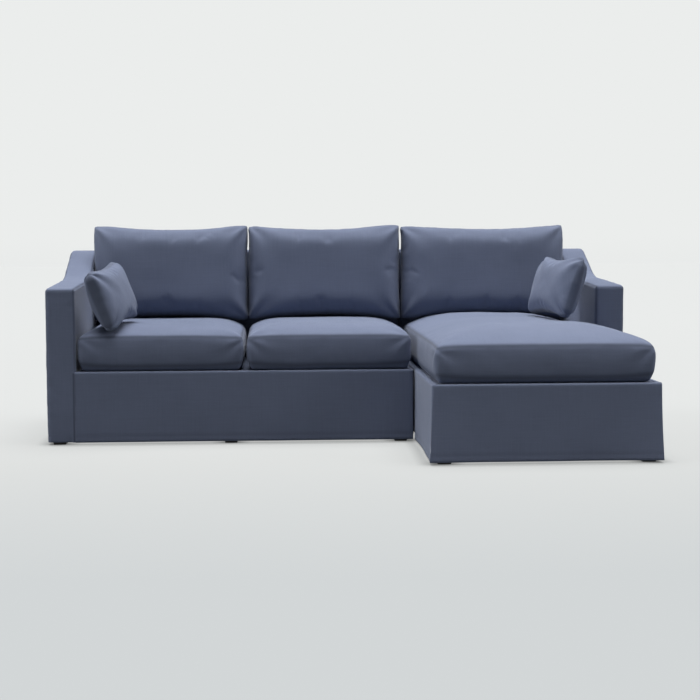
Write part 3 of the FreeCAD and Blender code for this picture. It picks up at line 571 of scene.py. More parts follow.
def panel(name, section, start, end, outward, swing, rounded, flares=(0, 0), skip=None):
    """Cloth drawn from start to end; section is (outward, height) points and swing moves them out.

    A rounded end stops halfway round its corner, where the next panel takes over. Lower down the
    ends run on over the flared corner, but for a narrow vent.
    """
    start, end, outward = (np.array(v, float) for v in (start, end, outward))
    length = np.linalg.norm(end - start)
    first, last = (CORNER_MIDDLE * CORNER if is_round else 0.0 for is_round in rounded)
    near_end = np.linspace(0, CORNER, 5)
    inner = np.linspace(CORNER, length - CORNER, max(4, round(length / SPACING)))
    along = np.concatenate([np.maximum(near_end, first), inner[1:-1],
                            length - np.maximum(near_end, last)[::-1]])
    along = np.unique(np.round(along, 7))
    count = len(along) - 1
    direction = (end - start) / length
    u, v = np.meshgrid(along, np.arange(len(section)), indexing="ij")
    out, height = np.array(section)[:, 0][v], np.array(section)[:, 1][v]
    level = np.array(section)[:, 1]
    down = np.clip((level.max() - height) / (level.max() - level.min()), 0, 1)
    place = u.copy()
    for way, distance, trim, flare in ((-1, u, first, flares[0]), (1, length - u, last, flares[1])):
        near = np.clip((END_REACH - distance) / (END_REACH - trim), 0, 1)
        place += way * near * (trim * down + 0.85 * flare * down ** 1.6)
    base = start + direction * place[..., None]
    points = base + outward * (out + swing(u, height, length))[..., None]
    points[..., 2] = height
    rows = len(section)
    faces = []
    for i in range(count):
        for j in range(rows - 1):
            middle = points[i:i + 2, j:j + 2].reshape(-1, 3).mean(axis=0)
            if skip and skip(middle):
                continue
            a, b = i * rows + j, (i + 1) * rows + j
            faces.append((a, b, b + 1, a + 1))
    piece = new_piece(name, points.reshape(-1, 3), faces)
    if np.array(piece.data.polygons[len(piece.data.polygons) // 2].normal) @ outward < 0:
        piece.data.flip_normals()
    levels = points.reshape(-1, 3)[:, 2]
    hem = section[-1][1]
    # Painted shade along the hem's stitching line.
    mark(piece.data, "seam", 0.45 * bump_at(levels - hem, 0.004) * (np.tile(
        np.arange(rows), count + 1) < rows - 4))
    return piece


def skirt_section(covers, top, bottom):
    """From under the deck's edge over a small round, down to the hem and back up inside."""
    radius = 0.007
    section = [(-0.020, top + 0.0008), (-0.013, top + 0.0009)]
    section += [(-radius + radius * math.sin(a), top + 0.001 - radius + radius * math.cos(a))
                for a in np.linspace(0, math.pi / 2, 5)]
    fall = np.linspace(top - radius - SPACING, bottom + 0.0015, 34)
    section += [(0.0, z) for z in fall]
    section += [(-0.0012, bottom), (-0.0028, bottom + 0.0015), (-0.0032, bottom + 0.010),
                (-0.0032, bottom + covers.hem)]
    return section


def skirt_swing(covers, top, bottom, start_flare, end_flare, seed, rounded=(True, True)):
    """Folds that grow towards the hem, flared corners and the sunk hem stitching."""
    def swing(u, height, length):
        down = np.clip((top - height) / (top - bottom), 0, 1)
        flat = np.stack([u, np.zeros_like(u), height * 0.25], axis=-1).reshape(-1, 3)
        folds = 0.0032 * wander(flat, 0.21, seed) + 0.0012 * wander(flat, 0.07, seed + 1)
        out = folds.reshape(u.shape) * down ** 1.3
        ends = ((u, start_flare, rounded[0]), (length - u, end_flare, rounded[1]))
        for distance, flare, is_round in ends:
            out = out + flare * down ** 1.6 * np.exp(-distance / 0.10)
            if is_round:
                inside = np.clip(1 - distance / CORNER, 0, 1)
                out = out - CORNER * (1 - np.sqrt(1 - inside ** 2)) * (1 - 0.85 * down)
        out = out - 0.0007 * bump_at(height - bottom - covers.hem, 0.0035)
        return out
    return swing


# Cushions

def knife_shell(width, height, belly, step, power, pull, corner):
    """Two panels sewn edge to edge: start points, cut size, faces, flat places and edge distance.

    power sets how flat the faces are across and up, pull how far the edges dip between the
    corners, and corner is the radius that rounds them off.
    """
    tips = [(sx * width / 2, sy * height / 2, sx, sy) for sx in (-1, 1) for sy in (-1, 1)]
    nx, ny = round(width / step), round(height / step)
    xs, ys = np.linspace(-1, 1, nx + 1), np.linspace(-1, 1, ny + 1)
    index, start, cut, flat = {}, [], [], []
    for side in (1, -1):
        for i, x in enumerate(xs):
            for j, y in enumerate(ys):
                rim = i in (0, nx) or j in (0, ny)
                if rim and side < 0:
                    index[side, i, j] = index[1, i, j]
                    continue
                index[side, i, j] = len(start)
                full = ((1 - abs(x) ** power[0]) * (1 - abs(y) ** power[1])) ** 0.5
                px, py = rounded(x * width / 2, y * height / 2, tips, corner)
                px -= x * pull / 4 * (1 - y * y) * x * x
                py -= y * pull * (1 - x * x) ** 2 * y * y
                start.append((px, py, side * belly * full))
                cut.append((px * 1.03, py * 1.04, side * belly * full * 0.8))
                flat.append((x * width / 2, y * height / 2, side * 0.2))
    faces = []
    for side in (1, -1):
        for i in range(nx):
            for j in range(ny):
                quad = [index[side, i, j], index[side, i + 1, j], index[side, i + 1, j + 1],
                        index[side, i, j + 1]]
                faces.append(quad if side > 0 else quad[::-1])
    flat = np.array(flat)
    edge = np.minimum(width / 2 - np.abs(flat[:, 0]), height / 2 - np.abs(flat[:, 1]))
    return np.array(start), np.array(cut), faces, flat, edge


def blow_up(pieces, cuts, cushions, limit):
    """Let the stuffing push the sewn shells out, all at once; no point moves past the limit."""
    scene = bpy.context.scene
    starts = [read_points(piece.data) for piece in pieces]
    for piece, cut in zip(pieces, cuts):
        piece.shape_key_add(name="Start")
        key = piece.shape_key_add(name="Cut")
        key.data.foreach_set("co", cut.astype(np.float32).ravel())
        cloth = piece.modifiers.new("Cloth", "CLOTH")
        cloth.settings.rest_shape_key = key
        for feel, value in CLOTH_FEEL.items():
            setattr(cloth.settings, feel, value)
        cloth.settings.uniform_pressure_force = cushions.pressure
        cloth.settings.effector_weights.gravity = 0
        cloth.point_cache.frame_start = 1
        cloth.point_cache.frame_end = cushions.steps
    for step in range(1, cushions.steps + 1):
        scene.frame_set(step)
    graph = bpy.context.evaluated_depsgraph_get()
    results = []
    for piece, start in zip(pieces, starts):
        move = read_points(piece.evaluated_get(graph).data) - start
        far = np.linalg.norm(move, axis=1, keepdims=True) + 1e-9
        results.append(start + move * (limit * np.tanh(far / limit) / far))
    for piece in pieces:
        piece.modifiers.clear()
        piece.shape_key_clear()
    scene.frame_set(1)
    return results


def fitted(points, size):
    """Scale points about their box's centre to a size."""
    lowest, highest = points.min(axis=0), points.max(axis=0)
    return (points - (lowest + highest) / 2) * (np.array(size) / (highest - lowest))


def leaned(tilt, yaw, roll):
    """Turn from a cushion lying flat to one that leans."""
    return np.array(Matrix.Rotation(yaw, 3, "Z") @ Matrix.Rotation(math.pi / 2 - tilt, 3, "X")
                    @ Matrix.Rotation(roll, 3, "Z"))


def rest_on(points, below, clearance):
    """Lift the points that would sink into the piece below."""
    tree = BVHTree.FromObject(below, bpy.context.evaluated_depsgraph_get())
    for point in points:
        hit = tree.ray_cast(Vector((point[0], point[1], 2.0)), Vector((0, 0, -1)))[0]
        if hit is not None and point[2] < hit.z + clearance:
            point[2] = hit.z + clearance
    return points


def corner_folds(across, down, reach, seed):
    """Folds that fan out from a corner; across and down are distances from it along its two edges."""
    rng = np.random.default_rng(seed)
    far = np.hypot(across, down)
    turn = np.arctan2(np.abs(down), np.abs(across) + 1e-9)
    bend = rng.uniform(-1, 1) * far / reach
    fan = np.sin(turn * rng.uniform(6.5, 9) + rng.uniform(0, 6.28) + 0.6 * bend)
    return fan * (far / reach) * np.exp(1 - far / reach)


def edge_marks(flat, edge, width, height, seed):
    """Depth of the seam, tucks and corner folds of a knife-edge cushion, and the seam's shading."""
    tucks = wander(flat, 0.018, seed)
    depth = -0.0014 * bump_at(edge - 0.006, 0.004) + 0.0012 * tucks * bump_at(edge, 0.035)
    for k, (sx, sy) in enumerate(((-1, -1), (1, -1), (1, 1), (-1, 1))):
        across, down = width / 2 - sx * flat[:, 0], height / 2 - sy * flat[:, 1]
        depth += 0.0046 * corner_folds(across, down, 0.045, seed * 10 + k)
    # The second value is painted shade along the seam.
    return depth, 0.8 * bump_at(edge - 0.003, 0.005)


def slackened(piece, points, depth, folds):
    """Points moved out of the cushion by seams and by folds of (height, length, seed)."""
    write_points(piece.data, points)
    slack = sum(height * wander(points, length, seed) for height, length, seed in folds)
    return points + read_normals(piece.data) * (depth + slack)[:, None]


def sew_up(piece, points, painted_seam_shade, name):
    """Last shape of a cushion, its seams' shading, and what it stands for."""
    write_points(piece.data, points)
    # Painted shade along the cushion's seams.
    mark(piece.data, "seam", painted_seam_shade)
    round_off(piece)
    finish_piece(piece, name, "upholstery", [name + "_cover"])


class SOFA_OT_back_cushions(bpy.types.Operator):
    """Three knife-edge cushions that stand on the seats and lean on the back"""
    bl_idname = "sofa.back_cushions"
    bl_label = "Back cushions"

    def execute(self, context):
        cushions = context.scene.sofa_cushions
        back_face = back_plane()
        names = ("left_back_cushion", "middle_back_cushion", "right_back_cushion")
        seats = ("left_seat_cushion_sewn", "middle_seat_cushion_sewn", "chaise_cushion_sewn")
        sizes = [(high(name + "_cover").x - low(name + "_cover").x + 2 * EDGE_DRAW,
                  cushions.back_height, 2 * cushions.back_belly) for name in names]
        shells = [knife_shell(size[0], size[1], size[2] / 2, step=0.010, power=(6.0, 5.4),
                              pull=0.010, corner=0.020) for size in sizes]
        pieces = [new_piece(name + "_sewn", shell[0], shell[2])
                  for name, shell in zip(names, shells)]
        results = blow_up(pieces, [shell[1] for shell in shells], cushions, limit=0.012)
        for i, (name, size, shell, piece, points) in enumerate(
                zip(names, sizes, shells, pieces, results)):
            lowest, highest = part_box(name + "_cover")
            points = fitted(points, size) @ leaned(cushions.lean, 0, 0).T
            points += (np.array(lowest) + np.array(highest)) / 2
            points[:, 2] += cushions.back_top - highest.z
            depth, painted_seam_shade = edge_marks(shell[3], shell[4], size[0], size[1], 40 + i)
            folds = ((0.0026, 0.19, 50 + i), (0.0008, 0.06, 60 + i))
            points = slackened(piece, points, depth, folds)
            points = rest_on(points, bpy.data.objects[seats[i]], RESTING_GAP)
            points[:, 0] = np.clip(points[:, 0], lowest.x - EDGE_DRAW, highest.x + EDGE_DRAW)
            points[:, 1] = np.minimum(points[:, 1], back_face(points[:, 2]) - RESTING_GAP)
            sew_up(piece, points, painted_seam_shade, name)
        return {"FINISHED"}


def back_plane():
    """Function that gives the Y of the back's leaning face at a height."""
    node = "two_seat_back_cover"
    foot, rear, top = low(node).y, high(node).y, high(node).z

    def face(z):
        return foot + (rear - BACK_TOP_DEPTH - foot) * (z - DECK) / (top - DECK)
    return face


class SOFA_OT_side_pillows(bpy.types.Operator):
    """Two small knife-edge pillows that lean on the arms"""
    bl_idname = "sofa.side_pillows"
    bl_label = "Side pillows"

    def execute(self, context):
        cushions = context.scene.sofa_cushions
        size = (cushions.pillow_width, cushions.pillow_height, 2 * cushions.pillow_belly)
        shell = knife_shell(size[0], size[1], size[2] / 2, step=0.006, power=(3.4, 3.0),
                            pull=0.010, corner=0.045)
        names = ("left_pillow", "right_pillow")
        seats = ("left_seat_cushion_sewn", "chaise_cushion_sewn")
        pieces = [new_piece(name + "_sewn", shell[0], shell[2]) for name in names]
        results = blow_up(pieces, [shell[1]] * 2, cushions, limit=0.009)
        for i, (name, piece, points) in enumerate(zip(names, pieces, results)):
            yaw, roll = ((cushions.left_yaw, cushions.roll), (-cushions.right_yaw, 0.0))[i]
            lowest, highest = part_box(name + "_cover")
            points = fitted(points, size) @ leaned(cushions.tilt, yaw, roll).T
            points += (np.array(lowest) + np.array(highest)) / 2
            depth, painted_seam_shade = edge_marks(shell[3], shell[4], size[0], size[1], 70 + i)
            folds = ((0.0020, 0.12, 80 + i), (0.0009, 0.04, 90 + i))
            points = slackened(piece, points, depth, folds)
            points = rest_on(points, bpy.data.objects[seats[i]], RESTING_GAP)
            sew_up(piece, points, painted_seam_shade, name)
        return {"FINISHED"}


def lattice(stops, step):
    """Lines about a step apart that pass through every stop."""
    lines = [stops[0]]
    for a, b in zip(stops, stops[1:]):
        count = max(1, round((b - a) / step))
        lines += [a + (b - a) * k / count for k in range(1, count + 1)]
    return lines


def rounded(x, y, corners, radius):
    """Place of a lattice point once the corners (x, y, sign x, sign y) are rounded off."""
    for cx, cy, sx, sy in corners:
        dx, dy = sx * (x - cx) + radius, sy * (y - cy) + radius
        if 0 < dx <= radius * 1.001 and 0 < dy <= radius * 1.001:
            shrink = max(dx, dy) / math.hypot(dx, dy)
            x = cx - sx * radius + sx * dx * shrink
            y = cy - sy * radius + sy * dy * shrink
    return x, y


class BoxedShell:
    """Top panel, bottom panel and the band between them, for a seat cushion.

    corners lists the convex corners as (x, y, sign x, sign y); they are rounded in plan.
    """

    def __init__(self, x_lines, y_lines, inside, corners, band, step):
        cells = {(i, j) for i in range(len(x_lines) - 1) for j in range(len(y_lines) - 1)
                 if inside((x_lines[i] + x_lines[i + 1]) / 2, (y_lines[j] + y_lines[j + 1]) / 2)}
        used = sorted({(i + a, j + b) for i, j in cells for a in (0, 1) for b in (0, 1)})
        plan = {(i, j): rounded(x_lines[i], y_lines[j], corners, SEAT_CORNER) for i, j in used}
        sides = [((i, j), p, q) for i, j in sorted(cells) for (di, dj), p, q in (
            ((0, -1), (i, j), (i + 1, j)), ((1, 0), (i + 1, j), (i + 1, j + 1)),
            ((0, 1), (i + 1, j + 1), (i, j + 1)), ((-1, 0), (i, j + 1), (i, j)))
            if (i + di, j + dj) not in cells]
        outward = {}
        for _, p, q in sides:
            (ax, ay), (bx, by) = plan[p], plan[q]
            for key in (p, q):
                outward[key] = outward.get(key, np.zeros(2)) + (by - ay, ax - bx)
        outward = {key: way / np.linalg.norm(way) for key, way in outward.items()}
        self.rows = max(4, round((band[1] - band[0]) / step))
        self.place, self.level, self.way, self.kind, index = [], [], [], [], {}
        for kind, level in (("low", 0.0), ("high", 1.0)):
            for key in used:
                index[kind, key] = len(self.place)
                self.add(plan[key], level, outward.get(key, (0, 0)), kind)
        for key in sorted(outward):
            index[0, key], index[self.rows, key] = index["low", key], index["high", key]
            for k in range(1, self.rows):
                index[k, key] = len(self.place)
                self.add(plan[key], k / self.rows, outward[key], "band")
        self.faces = []
        for i, j in sorted(cells):
            ring = [(i, j), (i + 1, j), (i + 1, j + 1), (i, j + 1)]
            self.faces.append([index["high", key] for key in ring])
            self.faces.append([index["low", key] for key in reversed(ring)])
        for _, p, q in sides:
            for k in range(self.rows):
                self.faces.append([index[k, p], index[k, q], index[k + 1, q], index[k + 1, p]])
        self.place, self.level = np.array(self.place), np.array(self.level)
        self.way, self.kind = np.array(self.way), np.array(self.kind)
        rim = np.array([plan[key] for key in sorted(outward)])
        self.edge = np.min(np.linalg.norm(self.place[:, None] - rim[None], axis=2), axis=1)
        self.corners, self.band = corners, band

    def add(self, place, level, way, kind):
        self.place.append(place)
        self.level.append(level)
        self.way.append(way)
        self.kind.append(kind)

    def shape(self, top, bottom, reach, bulge):
        """Crowned top, bulging band, and an underside that curls down to the deck."""
        points = np.zeros((len(self.place), 3))
        points[:, :2] = self.place
        swell = 4 * self.level * (1 - self.level)
        points[:, :2] += self.way * (bulge * swell * (self.kind == "band"))[:, None]
        near = np.full(len(points), 9.0)
        for cx, cy, _, _ in self.corners:
            near = np.minimum(near, np.hypot(self.place[:, 0] - cx, self.place[:, 1] - cy))
        pinch = np.exp(-(near / 0.075) ** 1.4)
        low_seam = self.band[0] + 0.013 * pinch
        high_seam = self.band[1] - 0.008 * pinch
        points[:, 2] = low_seam + (high_seam - low_seam) * self.level
        dome = np.clip(self.edge / reach, 0, 1)
        dome = (1 - (1 - dome) ** 2) ** 0.82
        curl = np.clip(self.edge / SEAT_CURL, 0, 1)
        curl = (1 - (1 - curl) ** 2) ** 0.6
        is_top, is_low = self.kind == "high", self.kind == "low"
        points[is_top, 2] += ((top - points[:, 2]) * dome)[is_top]
        points[is_low, 2] += ((bottom - points[:, 2]) * curl)[is_low]
        return points

    def marks(self, points, seed):
        """Depth of both seams, of the tucks beside them and of the corner folds; and the shading."""
        from_top = np.abs(self.level - 1) * (self.band[1] - self.band[0]) + self.edge
        from_low = self.level * (self.band[1] - self.band[0]) + self.edge
        depth = -0.0018 * (bump_at(from_top, 0.006) + bump_at(from_low, 0.006))
        depth += 0.0010 * wander(points, 0.026, seed) * bump_at(
            np.minimum(from_top, from_low), 0.045)
        for k, (cx, cy, sx, sy) in enumerate(self.corners):
            across, down = np.abs(self.place[:, 0] - cx), np.abs(self.place[:, 1] - cy)
            drop = np.abs(self.level - 1) * (self.band[1] - self.band[0])
            on_band = self.kind == "band"
            across = np.where(on_band, across + down, across)
            down = np.where(on_band, drop, down)
            folds = corner_folds(across, down, 0.036, seed * 10 + k)
            depth += 0.0024 * folds * (self.kind != "low")
        # The second value is painted shade along both seams, weaker at the lower one.
        return depth, np.maximum(bump_at(from_top, 0.005), 0.6 * bump_at(from_low, 0.005))


class SOFA_OT_seat_cushions(bpy.types.Operator):
    """Boxed seat cushions: two on the two-seat unit and the long one on the chaise"""
    bl_idname = "sofa.seat_cushions"
    bl_label = "Seat cushions"

    def execute(self, context):
        cushions = context.scene.sofa_cushions
        band = (DECK + cushions.band_low, DECK + cushions.band_high)
        bulge = 0.005
        names = ("left_seat_cushion", "middle_seat_cushion", "chaise_cushion")
        shells = [self.shell(name, band, bulge) for name in names]
        pieces, cuts = [], []
        for name, shell in zip(names, shells):
            reach = 0.30 if name == "chaise_cushion" else 0.17
            start = shell.shape(high(name + "_cover").z - 0.004, DECK - 0.002, reach, bulge)
            pieces.append(new_piece(name + "_sewn", start, shell.faces))
            middle = start.mean(axis=0)
            cuts.append(middle + (start - middle) * 1.014)
        results = blow_up(pieces, cuts, cushions, limit=0.005)
        for i, (name, shell, piece, points) in enumerate(zip(names, shells, pieces, results)):
            lowest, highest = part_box(name + "_cover")
            depth, painted_seam_shade = shell.marks(points, 20 + i)
            folds = ((0.0028, 0.21, 20 + i), (0.0009, 0.06, 30 + i))
            points = slackened(piece, points, depth, folds)
            for axis in (0, 1):
                points[:, axis] = np.clip(points[:, axis], lowest[axis] - 0.001,
                                          highest[axis] + 0.001)
            points[:, 2] = np.maximum(points[:, 2], DECK + 0.0012)
            sew_up(piece, points, painted_seam_shade, name)
        return {"FINISHED"}

    def shell(self, name, band, bulge):
        """Lattice inside the cushion's place, drawn in by the band's bulge."""
        (x0, y0, _), (x1, y1, _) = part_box(name + "_cover")
        x0, y0, x1, y1 = x0 + bulge, y0 + bulge, x1 - bulge, y1 - bulge
        if name != "chaise_cushion":
            corners = [(x0, y0, -1, -1), (x1, y0, 1, -1), (x1, y1, 1, 1), (x0, y1, -1, 1)]
            return BoxedShell(lattice([x0, x1], 0.011), lattice([y0, y1], 0.011),
                              lambda x, y: True, corners, band, 0.011)
        x_arm = low("chaise_arm_cover").x - 0.003 - bulge
        y_ear = low("chaise_arm_cover").y - 0.008 - bulge
        corners = [(x0, y0, -1, -1), (x1, y0, 1, -1), (x1, y_ear, 1, 1), (x_arm, y1, 1, 1),
                   (x0, y1, -1, 1)]
        return BoxedShell(lattice([x0, x_arm, x1], 0.012), lattice([y0, y_ear, y1], 0.012),
                          lambda x, y: x < x_arm or y < y_ear, corners, band, 0.012)


class SOFA_OT_arms(bpy.types.Operator):
    """Sewn covers of the two arms"""
    bl_idname = "sofa.arms"
    bl_label = "Arms"

    def execute(self, context):
        covers = context.scene.sofa_covers
        for unit, side in SIDES.items():
            node = unit + "_arm_cover"
            x0, x1 = low(node).x, high(node).x
            piece, outline = sewn_block(unit + "_arm_sewn", arm_outline(covers), x0, x1,
                                        edge=0.012, voxel=0.006)
            inner = x1 if side < 0 else x0
            front, rear = low(node).y, high(node).y

            def unwanted(centre, normal):
                under = centre.z < HEM + 0.002 and normal.z < -0.5
                within = (centre.z < DECK - 0.004 and abs(centre.x - inner) < 0.003
                          and centre.y < rear - 0.04)
                behind = (side > 0 and centre.z < DECK - 0.004 and centre.y < front + 0.003
                          and abs(centre.x - inner) < x1 - x0 - 0.012)
                return under or within or behind
            soften(piece, outline, x0, x1, covers, 100 + side)
            if side < 0:
                self.join_front(piece.data, inner, front)
            open_and_hem(piece, unit, node, covers, unwanted)
        return {"FINISHED"}

    def join_front(self, mesh, inner, front):
        """Below the deck the arm's front lies flush with the skirt, with painted shade along two rows of
        stitching.
        """
        points = read_points(mesh)
        joined = ((points[:, 2] < DECK - 0.003) & (np.abs(points[:, 0] - inner) < 0.016)
                  & (points[:, 1] < front + 0.014))
        points[joined, 1] = front - 0.0008
        write_points(mesh, points)
        layer = mesh.attributes["seam"]
        painted_seam_shade = np.zeros(len(points), np.float32)
        layer.data.foreach_get("value", painted_seam_shade)
        below = (points[:, 2] < DECK) & (points[:, 1] < front + 0.01)
        # Painted shade along the two rows of stitching below the deck's front.
        rows = bump_at(points[:, 0] - inner, 0.003) + bump_at(points[:, 0] - inner + 0.009, 0.003)
        painted_seam_shade[joined] = 0
        painted_seam_shade = np.where(below, np.maximum(painted_seam_shade, 0.9 * rows), painted_seam_shade)
        layer.data.foreach_set("value", painted_seam_shade.astype(np.float32))


class SOFA_OT_backs(bpy.types.Operator):
    """Sewn covers of the two backs"""
    bl_idname = "sofa.backs"
    bl_label = "Backs"

    def execute(self, context):
        covers = context.scene.sofa_covers
        for unit, side in SIDES.items():
            node = unit + "_back_cover"
            x0, x1 = low(node).x - 0.003 * (side < 0), high(node).x + 0.003 * (side > 0)
            piece, outline = sewn_block(unit + "_back_sewn", back_outline(covers, node), x0, x1,
                                        edge=0.009, voxel=0.008)
            rear = high(node).y

            def unwanted(centre, normal):
                under = centre.z < HEM + 0.003 and normal.z < -0.5
                return under or (centre.z < DECK - 0.004 and centre.y < rear - 0.06)
            soften(piece, outline, x0, x1, covers, 110 + side)
            open_and_hem(piece, unit, node, covers, unwanted)
        return {"FINISHED"}


class SOFA_OT_base_covers(bpy.types.Operator):
    """Deck covers and skirts of the two units"""
    bl_idname = "sofa.base_covers"
    bl_label = "Deck covers and skirts"

    def execute(self, context):
        for unit in SIDES:
            self.deck(unit)
            self.skirt(unit, context.scene.sofa_covers)
        return {"FINISHED"}

    def deck(self, unit):
        """Cover stretched over the deck pad, a little higher in the middle."""
        node = unit + "_deck_cover"
        (x0, y0, _), (x1, y1, top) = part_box(node)
        stops_x, stops_y = [x0 + 0.004, x1 - 0.001], [y0 + 0.004, y1]
        arm, front = low("chaise_arm_cover").x, low("chaise_arm_cover").y
        if unit == "chaise":
            stops_x, stops_y = [x0 + 0.004, arm, x1 - 0.004], [y0 + 0.004, front, y1]
        xs, ys = lattice(stops_x, 0.02), lattice(stops_y, 0.02)
        points = np.array([(x, y, top) for x in xs for y in ys])
        from_edge = np.minimum.reduce([points[:, 0] - x0, x1 - points[:, 0], points[:, 1] - y0,
                                       y1 - points[:, 1]])
        points[:, 2] -= 0.0012 * np.exp(-from_edge / 0.03)
        points[:, 2] += 0.0004 * wander(points, 0.07, 3)
        rows = len(ys)
        faces = [(i * rows + j, (i + 1) * rows + j, (i + 1) * rows + j + 1, i * rows + j + 1)
                 for i in range(len(xs) - 1) for j in range(rows - 1)
                 if unit == "two_seat" or xs[i] < arm - 1e-6 or ys[j] < front - 1e-6]
        piece = new_piece(unit + "_deck_sewn", points, faces)
        width, depth = x1 - x0, y1 - y0
        area = width * depth
        if unit == "chaise":
            area -= (x1 - arm) * (y1 - front)
        finish_piece(piece, unit + "_unit", "upholstery", [node])

    def skirt(self, unit, covers):
        """Front panel and side panels; the first one stands for the unit's skirt node."""
        side = SIDES[unit]
        node = unit + "_skirt"
        (x0, _, _), (x1, _, _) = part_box(node)
        deck_low, deck_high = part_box(unit + "_deck_cover")
        rear = low(unit + "_back_cover").y
        front = deck_low.y
        joint = deck_high.x if side < 0 else deck_low.x
        other = deck_low.x if side < 0 else deck_high.x
        flare = covers.flare if unit == "chaise" else 0.0
        section = skirt_section(covers, DECK, HEM)
        made = []
        left, right = sorted((joint, other))
        under_arm = 0.005 if unit == "two_seat" else 0.0
        ends = (unit == "chaise", True)
        swing = skirt_swing(covers, DECK, HEM, flare, flare, 200 + side, ends)
        front_panel = panel(unit + "_skirt_front", section, (left - under_arm, front, 0),
                            (right, front, 0), (0, -1, 0), swing, ends, (flare, flare))
        made.append((front_panel, right - left))
        outward = -side
        if unit == "chaise":
            arm_front = low("chaise_arm_cover").y
            ends = (True, False)
            swing = skirt_swing(covers, DECK, HEM, flare, 0.0, 210 + side, ends)
            for label, x, out in (("joint", joint, outward), ("outer", other, side)):
                made.append((panel(unit + "_skirt_" + label, section, (x, front, 0),
                                   (x, arm_front, 0), (out, 0, 0), swing, ends, (flare, 0)),
                             arm_front - front))
            start = arm_front
        else:
            start = front
        slots = bracket_slots(unit)

        def in_slot(middle):
            return any(a < middle[1] < b and c < middle[2] < d for a, b, c, d in slots)
        inner = skirt_section(covers, DECK, INNER_HEM)
        ends = (unit == "two_seat", False)
        swing = skirt_swing(covers, DECK, INNER_HEM, 0.0, 0.0, 220 + side, ends)
        made.append((panel(unit + "_skirt_inner", inner, (joint, start, 0), (joint, rear, 0),
                           (outward, 0, 0), swing, ends, skip=in_slot), rear - start))
        for i, (piece, length) in enumerate(made):
            finish_piece(piece, unit + "_unit", "upholstery", [node] if i == 0 else [])


def bracket_slots(unit):
    """Openings for the hooks as (y low, y high, z low, z high), from the hooks' own boxes."""
    node = frame["nodes"][unit + "_brackets"]
    points = read_points(node.data)
    middle = (points[:, 1].min() + points[:, 1].max()) / 2
    beside, foot, lift = 0.006, 0.063, 0.086
    return [(part[:, 1].min() - beside, part[:, 1].max() + beside, foot, part[:, 2].max() + lift)
            for part in (points[points[:, 1] < middle], points[points[:, 1] > middle])]


class SOFA_OT_soft_fillings(bpy.types.Operator):
    """Foam blocks, fibre cores and wadding under the covers"""
    bl_idname = "sofa.soft_fillings"
    bl_label = "Fillings"

    def execute(self, context):
        for node, cad in sorted(frame["nodes"].items()):
            if node.endswith("_core"):
                slot = "filling" if "back" in node or "pillow" in node else "foam"
                self.plump(node, cad, slot, 0.012)
            elif node.endswith("_padding"):
                self.plump(node, cad, "wadding", 0.005)
            elif node.endswith("_deck_pad"):
                self.plump(node, cad, "foam", 0.004)
        return {"FINISHED"}

    def plump(self, node, cad, slot, rounding):
        """Copy of a soft solid with softened edges; wadding is drawn in under its cover's corners."""
        shape = bmesh.new()
        shape.from_mesh(cad.data)
        bmesh.ops.remove_doubles(shape, verts=shape.verts, dist=1e-5)
        bmesh.ops.dissolve_limit(shape, angle_limit=math.radians(3), verts=shape.verts,
                                 edges=shape.edges)
        if slot == "wadding":
            shape.normal_update()
            for vert in shape.verts:
                vert.co -= vert.normal * rounding
        else:
            sharp = [e for e in shape.edges if e.calc_face_angle(0) > math.radians(30)]
            bmesh.ops.bevel(shape, geom=sharp, offset=rounding, segments=3, profile=0.5,
                            affect="EDGES", clamp_overlap=True)
        mesh = bpy.data.meshes.new(node + "_soft")
        shape.to_mesh(mesh)
        shape.free()
        piece = add_object(node + "_soft", mesh)
        finish_piece(piece, cad["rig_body"], slot, [node])
        piece.data.polygons.foreach_set("use_smooth", [False] * len(piece.data.polygons))


class SOFA_OT_frame_finishes(bpy.types.Operator):
    """Timber, plywood, steel, bands, dust cloth and feet of the frame"""
    bl_idname = "sofa.frame_finishes"
    bl_label = "Frame finishes"

    def execute(self, context):
        slots = {s["node"]: s["material_slot"] for s in frame["record"]["subparts"]}
        for node, piece in frame["nodes"].items():
            piece.data.materials.clear()
            piece.data.materials.append(finishes()[slots[node]])
        return {"FINISHED"}


